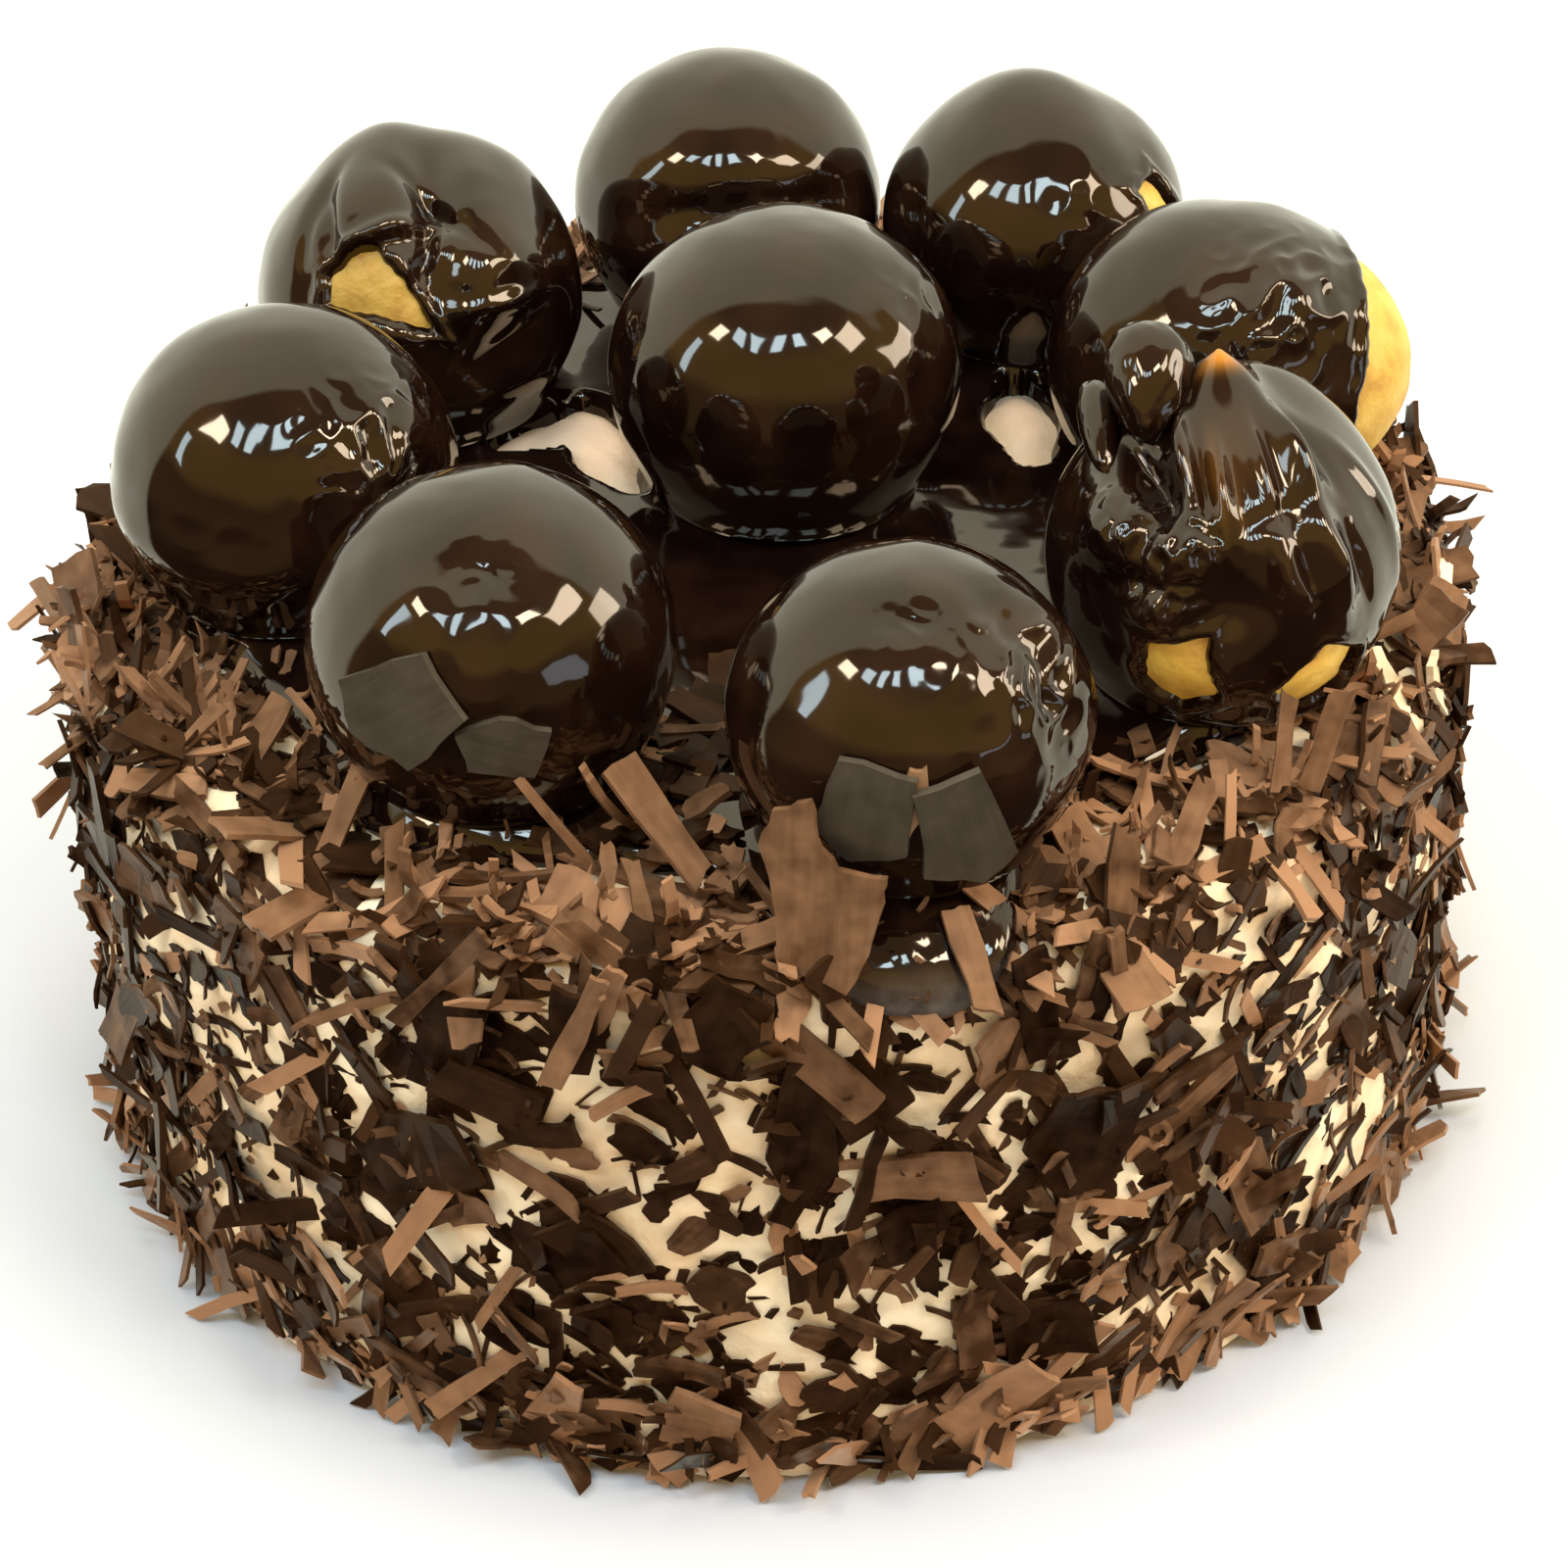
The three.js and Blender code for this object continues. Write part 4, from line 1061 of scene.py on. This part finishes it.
# Each thin spot: angle, along, width and height.
THIN_SPOTS = [
    (-142, 95, 8, 6), (-132, 96, 7, 7), (-126, 88, 6, 5), (-50, 94, 4, 4), (-51, 105, 4, 5),
    (-44, 108, 4, 4), (-132, 120, 6, 6), (-125, 109, 5, 5), (-133, 131, 4, 5), (-118, 121, 5, 6),
    (-102, 125, 7, 7), (-93, 117, 6, 7), (-90, 110, 6, 4), (-89, 103, 4, 3), (-100, 141, 9, 7),
    (-91, 134, 6, 6), (-111, 134, 5, 5), (-75, 109, 9, 5), (-81, 120, 9, 6), (-74, 120, 6, 6),
    (-83, 136, 8, 7), (-72, 145, 6, 6), (-63, 126, 3, 8), (-47, 144, 5, 7), (-51, 117, 3, 5),
    (-45, 117, 3, 4), (-61, 148, 4, 4), (-51, 171, 6, 5), (-119, 153, 4, 4), (-128, 163, 3, 5),
    (-115, 168, 4, 4), (-105, 163, 5, 4), (-97, 157, 6, 5), (-81, 155, 8, 4),
]
# Each broad area: angle, width, along, height and change of the cover.
BROAD_AREAS = [(-88, 30, 122, 14, -0.28), (-98, 35, 158, 18, 0.3), (-130, 16, 112, 12, -0.4)]


def thinning(along, angle):
    """The share of flakes that is left where cream shows through."""
    left = np.ones_like(along)
    for spot_angle, spot_along, wide, high in THIN_SPOTS:
        across = np.radians(apart(angle, spot_angle)) * CAKE_RADIUS
        left *= 1 - SPOT_WEIGHT * bell(across, wide) * bell(along - spot_along, high)
    return left


def flake_cover(along, angle, points):
    at_rim = bell(along - RIM_ALONG, RIM_WIDTH)
    cover = 0.95 - 0.7 * uneven(points, 12) - 0.8 * uneven(points, 5)
    cover -= 0.5 * bell(apart(angle, TUFT_ANGLE), TUFT_WIDTH) * at_rim
    cover = np.clip(cover, 0.03, 1.6) + 0.9 * at_rim + bell(along - FOOT_ALONG, 10)
    cover *= thinning(along, angle)
    for area_angle, wide, area_along, high, change in BROAD_AREAS:
        cover *= 1 + change * bell(apart(angle, area_angle), wide) * bell(along - area_along, high)
    on_cake = soft_step(77, 84, along) * (along < FOOT_ALONG - 1)
    return cover * soft_step(0.08, 0.55, cover) * on_cake


pad = np.zeros(len(cream_all) - along_grid.size)
along_all, angle_all = along_grid.ravel(), np.degrees(angle_grid).ravel()
cover = flake_cover(along_all, angle_all, cream_flat)
tuft = bell(apart(angle_all, TUFT_ANGLE), TUFT_WIDTH)
rim = (0.75 + 0.9 * tuft) * bell(along_all - 92, RIM_WIDTH) * thinning(along_all, angle_all) ** 2
on_side = soft_step(96, 104, along_all) * (along_all < FOOT_ALONG - 4)
side = on_side * (1.9 - 1.4 * np.minimum(cover, 1))
foot = bell(along_all - FOOT_ALONG + 5, 6)
# Painted light: flakes at the rim are paler, as if lit from above, but darker at the front left as
# painted shade. Flakes at the foot are paler too.
painted_rim_light = 0.72 - 0.4 * bell(apart(angle_all, SHADED_RIM_ANGLE), SHADED_RIM_WIDTH)
light = 0.06 + painted_rim_light * bell(along_all - 91, RIM_WIDTH) + 0.62 * bell(along_all - FOOT_ALONG, 13)
kept = {"cover": cover, "rim": rim, "side": side, "foot": foot, "light": light}
for name, values in kept.items():
    keep_values(cream_mesh, name, np.concatenate([values, pad]))
# In the gap between the front buns, the band of dark flakes on the pool is wider: painted shade.
edge_width = EDGE_FLAKES + GAP_EXTRA * bell(apart(pool_angle, FRONT_GAP_ANGLE), 10)
pool_edge = soft_step(-edge_width, -0.6 * edge_width, pool_along - reach)
pool_edge = pool_edge * (1 - 0.9 * flat_bell(apart(pool_angle, DRIP_ANGLE), 14))
for bun in BUNS.values():
    x, y, radius = bun["spot"]
    from_bun = np.hypot(pool_points[..., 0] - x, pool_points[..., 1] - y)
    pool_edge = pool_edge * (from_bun > 0.8 * radius)
keep_values(pool_mesh, "rim", np.append(pool_edge.ravel(), [0, 0]))
# Flakes on the pool's edge get little painted light: painted shade among the buns.
keep_values(pool_mesh, "light", np.append(np.full(pool_edge.size, POOL_PAINTED_LIGHT), [0, 0]))
print("mean cover of the side:", round(float(cover[along_all > RIM_END].mean()), 2))

# %% A tree that scatters flakes
SCATTER_INPUTS = {"Bed": "Geometry", "Flakes": "Collection", "Steered by": "String",
                  "Flakes per square metre": "Float", "Most lift": "Float", "Most tone": "Float",
                  "Paleness": "Float", "Smallest": "Float", "Largest": "Float", "Seed": "Int",
                  "Finish": "Material"}
TONE_POWER, PALER_RANGE, TILT, FULL_TURN = 1.6, (0.1, 1.7), 0.2, 6.2832


def chance_node(tree, low, high, seed):
    inputs = {"Min": low, "Max": high, "Seed": seed}
    return add_node(tree, "FunctionNodeRandomValue", inputs, "Value", data_type="FLOAT")


def kept_value(tree, name):
    inputs, kind = {"Name": name}, "GeometryNodeInputNamedAttribute"
    return add_node(tree, kind, inputs, "Attribute", data_type="FLOAT")


def with_value(tree, geometry, name, value, data_type):
    inputs = {"Geometry": geometry, "Name": name, "Value": value}
    kind = "GeometryNodeStoreNamedAttribute"
    return add_node(tree, kind, inputs, "Geometry", data_type=data_type)


def scatter_tree():
    tree = bpy.data.node_groups.new("scatter_flakes", "GeometryNodeTree")
    tree.is_modifier = True
    for name, kind in SCATTER_INPUTS.items():
        tree.interface.new_socket(name, in_out="INPUT", socket_type=f"NodeSocket{kind}")
    tree.interface.new_socket("Flakes laid", in_out="OUTPUT", socket_type="NodeSocketGeometry")
    given = tree.nodes.new("NodeGroupInput").outputs
    cover, light = kept_value(tree, given["Steered by"]), kept_value(tree, "light")
    density = calculate(tree, "MULTIPLY", cover, given["Flakes per square metre"])
    spread = add_node(tree, "GeometryNodeDistributePointsOnFaces",
                      {"Mesh": given["Bed"], "Density": density, "Seed": given["Seed"]})
    # The painted light kept on the bed, scaled for each kind and by chance, makes flakes paler.
    lit = calculate(tree, "MULTIPLY", light, given["Paleness"])
    paler = calculate(tree, "MULTIPLY", lit, chance_node(tree, *PALER_RANGE, 6))
    mostly_dark = calculate(tree, "POWER", chance_node(tree, 0, 1, 1), TONE_POWER)
    tone = calculate(tree, "MULTIPLY_ADD", mostly_dark, given["Most tone"], paler)
    toned = with_value(tree, spread.outputs["Points"], "tone", tone, "FLOAT")
    index = add_node(tree, "GeometryNodeInputIndex", {}, "Index")
    counted = with_value(tree, toned, "number", index, "INT")
    lift = calculate(tree, "MULTIPLY", chance_node(tree, -1, 0.15, 2), given["Most lift"])
    angles = {"X": chance_node(tree, -TILT, TILT, 3), "Y": lift,
              "Z": chance_node(tree, 0, FULL_TURN, 4)}
    euler = add_node(tree, "ShaderNodeCombineXYZ", angles, "Vector")
    turn = add_node(tree, "FunctionNodeEulerToRotation", {"Euler": euler}, "Rotation")
    turned = add_node(tree, "FunctionNodeRotateRotation",
                      {"Rotation": spread.outputs["Rotation"], "Rotate By": turn},
                      "Rotation", rotation_space="LOCAL")
    flakes = add_node(tree, "GeometryNodeCollectionInfo",
                      {"Collection": given["Flakes"], "Separate Children": True,
                       "Reset Children": True}, "Instances")
    size = chance_node(tree, given["Smallest"], given["Largest"], 5)
    laid = add_node(tree, "GeometryNodeInstanceOnPoints",
                    {"Points": counted, "Instance": flakes, "Pick Instance": True,
                     "Rotation": turned, "Scale": size}, "Instances")
    solid = add_node(tree, "GeometryNodeRealizeInstances", {"Geometry": laid}, "Geometry")
    finished = add_node(tree, "GeometryNodeSetMaterial",
                        {"Geometry": solid, "Material": given["Finish"]}, "Geometry")
    tree.links.new(finished, tree.nodes.new("NodeGroupOutput").inputs["Flakes laid"])
    return tree


scatter = scatter_tree()
print("scatter tree:", len(scatter.nodes), "nodes")

# %% Scattering one kind of flake
SMALL_THICK, SMALL_TWIST, SMALL_CHIPPED = (0.35, 0.75), (-0.25, 0.25), 0.12


def flake_set(name, count, long, wide, curl, corners, steps, cuts, draw):
    """A few flakes of one kind, with their lower end at the origin."""
    group = bpy.data.collections.new(name)
    for number in range(count):
        length = between(*long, draw)
        cut_out = flake_corners(length, between(*wide, draw), corners, draw)
        outline = broken_edges(cut_out, draw, steps, SMALL_CHIPPED * wide[1])
        thick, bend = between(*SMALL_THICK, draw), between(*curl, draw) * length
        points, faces = flake_shape(outline, thick, bend, cuts, between(*SMALL_TWIST, draw))
        points[:, 0] += length * (0.5 - FLAKE_BURIED)
        mesh = make_mesh(f"{name}_{number}", points, faces, shaved_chocolate, smooth=False)
        keep_grain(mesh, points * MM + [0, 0.1 * number, 0])
        group.objects.link(bpy.data.objects.new(mesh.name, mesh))
    return group


def stand_on_floor(mesh):
    """Raises every flake that reaches below the floor, whole."""
    places = np.empty(3 * len(mesh.vertices), np.float32)
    number = np.empty(len(mesh.vertices), np.int32)
    mesh.vertices.foreach_get("co", places)
    mesh.attributes["number"].data.foreach_get("value", number)
    lowest = np.full(number.max() + 1, np.inf)
    np.minimum.at(lowest, number, places[2::3])
    places[2::3] += np.maximum(FLAKE_FLOOR * MM - lowest, 0)[number]
    mesh.vertices.foreach_set("co", places)
    mesh.attributes.remove(mesh.attributes["number"])


def scatter_flakes(name, group, bed_mesh, steered_by, per_square_metre, lift, tones, sizes, seed):
    bed = bpy.data.objects.new(name, bed_mesh)
    bpy.context.scene.collection.objects.link(bed)
    modifier = bed.modifiers.new("scatter", "NODES")
    modifier.node_group = scatter
    settings = [group, steered_by, per_square_metre, math.radians(lift), *tones, *sizes, seed,
                shaved_chocolate]
    inputs = [item for item in scatter.interface.items_tree if item.in_out == "INPUT"]
    for item, value in zip(inputs[1:], settings):
        modifier[item.identifier] = value
    graph = bpy.context.evaluated_depsgraph_get()
    mesh = bpy.data.meshes.new_from_object(bed.evaluated_get(graph), depsgraph=graph,
                                           preserve_all_data_layers=True)
    mesh.name = name
    stand_on_floor(mesh)
    bpy.data.objects.remove(bed)
    for flake in list(group.objects):
        bpy.data.objects.remove(flake)
    bpy.data.collections.remove(group)
    return place_piece(mesh, "cake")


# %% Nine kinds of small flakes
# Each kind has two rows. The first cuts a set: how many, length, width, curl, corners, breaks in
# an edge and cuts across. The second lays it: steered by, flakes per square metre, most lift, most
# tone and strength of the painted light, smallest and largest, seed.
SMALL_FLAKES = {
    # Flakes that lie under the others, made near-black: their darkness is painted shade in the gaps
    # between flakes.
    "flakes_dark_layer": ((12, (5, 10), (2.5, 6), (-0.03, 0.05), 5, 1, 0),
                          ("cover", 15000, 8, (0.2, 0), (0.7, 1.2), 19)),
    "flakes_plates": ((12, (8, 15), (4, 9), (-0.03, 0.08), 5, 2, 2),
                      ("cover", 6500, 14, (0.7, 0.3), (0.7, 1.15), 11)),
    "flakes_strips": ((12, (10, 20), (1.4, 3.4), (-0.05, 0.12), 4, 1, 3),
                      ("cover", 19000, 26, (1, 0.9), (0.7, 1.2), 12)),
    "flakes_chips": ((12, (5, 9), (2.4, 5), (-0.03, 0.1), 5, 1, 1),
                     ("cover", 17000, 34, (1, 0.7), (0.7, 1.2), 13)),
    "flakes_crumbs": ((8, (1.6, 3.4), (1.0, 2.2), (0, 0.05), 4, 0, 0),
                      ("cover", 13000, 40, (0.9, 0.8), (0.6, 1.2), 14)),
    "flakes_slivers": ((10, (5, 12), (0.7, 1.6), (-0.05, 0.15), 4, 0, 2),
                       ("side", 21000, 22, (0.6, 0.6), (0.5, 1.05), 18)),
    "flakes_shavings": ((14, (6, 13), (0.9, 2.2), (0.05, 0.35), 4, 0, 4),
                        ("rim", 60000, 62, (0.8, 1.2), (0.7, 1.2), 15)),
    "flakes_on_glaze": ((12, (5, 13), (1.2, 4), (-0.03, 0.2), 4, 1, 3),
                        ("rim", 60000, 28, (0.85, 0.9), (0.7, 1.2), 16)),
    "flakes_foot": ((8, (11, 19), (2.5, 7), (-0.03, 0.1), 4, 1, 2),
                    ("foot", 20000, 42, (0.85, 1), (0.8, 1.15), 17)),
}
draw = seeded_draw(2027)
for name, (cut_as, laid_as) in SMALL_FLAKES.items():
    bed_mesh = pool_mesh if name == "flakes_on_glaze" else cream_mesh
    scatter_flakes(name, flake_set(f"{name}_cut", *cut_as, draw), bed_mesh, *laid_as)

# %% [markdown]
# ## The studio
# Glaze is a mirror, so its look comes from the room. Behind the cake the room is bright, and the
# tops of the buns mirror it as a pale cap with a clear edge. In front it is brown, and darker near
# the floor. A row of window panels gives the bright spots that make glaze look wet, and one more
# light that the glaze does not mirror falls on what faces up. The floor is plain and pale, and the
# camera looks down at the front with a long lens.

# %% Floor
FLOOR_PALE, FLOOR_SHADE, FLOOR_HALF = (0.63, 0.635, 0.65), (0.61, 0.615, 0.63), 4000


def floor_finish():
    material, tree, shader = new_finish("pale_floor")
    patches = noise_at(tree, object_place(tree), 3)
    mottled = colour_ramp(tree, patches, [(0.4, FLOOR_SHADE), (0.6, FLOOR_PALE)])
    fill(shader, {"Base Color": mottled, "Roughness": 0.6})
    return material


floor_corners = [(-FLOOR_HALF, -FLOOR_HALF, 0), (FLOOR_HALF, -FLOOR_HALF, 0),
                 (FLOOR_HALF, FLOOR_HALF, 0), (-FLOOR_HALF, FLOOR_HALF, 0)]
floor_mesh = make_mesh("floor", floor_corners, [(0, 1, 2, 3)], floor_finish())
floor = bpy.data.objects.new("floor", floor_mesh)
bpy.context.scene.collection.objects.link(floor)
floor.visible_glossy = False
print("floor:", 2 * FLOOR_HALF * MM, "m wide")

# %% Lights
CAKE_MIDDLE, PANEL_DISTANCE = Vector((0, 0, 0.06)), 1.5
TOP_LIGHT_PLACE, TOP_LIGHT_SIZE, TOP_LIGHT_WATTS = Vector((0, 0.1, 1.5)), (0.5, 0.5), 8
COOL, WARM, BLUE = (0.5, 0.74, 1.0), (1, 0.94, 0.85), (0.55, 0.72, 1.0)
# Each window panel: azimuth, elevation, width, height, watts and colour.
PANELS = [
    (-166, 28, 0.16, 0.55, 3.2, COOL), (-158, 49, 0.24, 0.26, 4.4, WARM),
    (-138, 56, 0.18, 0.3, 2.8, COOL), (-118, 58, 0.15, 0.34, 2.8, COOL),
    (-96, 60, 0.15, 0.3, 2.6, COOL), (-72, 60, 0.17, 0.26, 2.8, COOL),
    (-40, 58, 0.28, 0.26, 6, WARM), (-20, 44, 0.4, 0.38, 6.5, WARM),
    (-1, 22, 0.5, 0.4, 6, WARM), (-40, 7, 0.5, 0.24, 0.9, BLUE),
]


def soft_panel(name, place, size, watts, colour):
    lamp = bpy.data.lights.new(name, "AREA")
    lamp.shape, lamp.size, lamp.size_y = "RECTANGLE", *size
    lamp.energy, lamp.color = watts, colour
    panel = bpy.data.objects.new(name, lamp)
    panel.location = place
    panel.rotation_euler = (CAKE_MIDDLE - Vector(place)).to_track_quat("-Z", "Y").to_euler()
    bpy.context.scene.collection.objects.link(panel)
    return panel


for number, (turn, tip, wide, tall, watts, colour) in enumerate(PANELS):
    place = CAKE_MIDDLE + Vector(ball_facing(turn, tip)[0]) * PANEL_DISTANCE
    soft_panel(f"window_{number}", place, (wide, tall), watts, colour)
top_light = soft_panel("top_light", CAKE_MIDDLE + TOP_LIGHT_PLACE, TOP_LIGHT_SIZE,
                       TOP_LIGHT_WATTS, WARM)
top_light.visible_glossy = False
print("lights:", len(PANELS), "window panels and", top_light.name)

# %% Room
ROOM_BRIGHT, ROOM_BROWN, ROOM_DIM = (0.95, 0.95, 0.79, 1), (0.5, 0.34, 0.12), (0.24, 0.17, 0.1)
ROOM_LOW, ROOM_DARK, ROOM_STRENGTH = (0.18, 0.12, 0.06), (0.04, 0.026, 0.016), 1.55
BEHIND_SHARP, BEHIND_SHIFT = 16, -0.1
world = bpy.data.worlds.new("studio")
world.use_nodes = True
bpy.context.scene.world = world
sky = world.node_tree
outward = add_node(sky, "ShaderNodeTexCoord", {}, "Generated")
heading = add_node(sky, "ShaderNodeSeparateXYZ", {"Vector": outward}).outputs
height = calculate(sky, "MULTIPLY_ADD", heading["Z"], 0.5, 0.5)
front = colour_ramp(sky, height, [(0.36, ROOM_DARK), (0.42, ROOM_LOW), (0.58, ROOM_LOW),
                                  (0.66, ROOM_BROWN), (0.84, ROOM_BROWN), (0.93, ROOM_DIM)])
behind = calculate(sky, "MULTIPLY_ADD", heading["Y"], BEHIND_SHARP, BEHIND_SHIFT)
behind.node.use_clamp = True
sky_colour = blend(sky, front, ROOM_BRIGHT, behind)
fill(sky.nodes["Background"], {"Color": sky_colour, "Strength": ROOM_STRENGTH})
bpy.context.scene.view_settings.view_transform = "Standard"
print("room:", world.name, "with", len(sky.nodes), "nodes")

# %% Camera
VIEW_TILT, VIEW_ROLL, VIEW_DISTANCE, LENS, SENSOR = 36.6, -1.4, 0.771, 117.5, 36
VIEW_TARGET, VIEW_SHIFT = Vector((0, 0, 0.05)), (0.00254, -0.00226)
camera_data = bpy.data.cameras.new("camera")
camera_data.lens, camera_data.sensor_width = LENS, SENSOR
camera = bpy.data.objects.new("camera", camera_data)
tipped = Matrix.Rotation(math.radians(90 - VIEW_TILT), 3, "X")
turned = tipped @ Matrix.Rotation(math.radians(VIEW_ROLL), 3, "Z")
stand = VIEW_TARGET + turned @ Vector((*VIEW_SHIFT, VIEW_DISTANCE))
camera.matrix_world = Matrix.Translation(stand) @ turned.to_4x4()
bpy.context.scene.collection.objects.link(camera)
bpy.context.scene.camera = camera
print("camera:", LENS, "mm lens,", VIEW_DISTANCE, "m away")
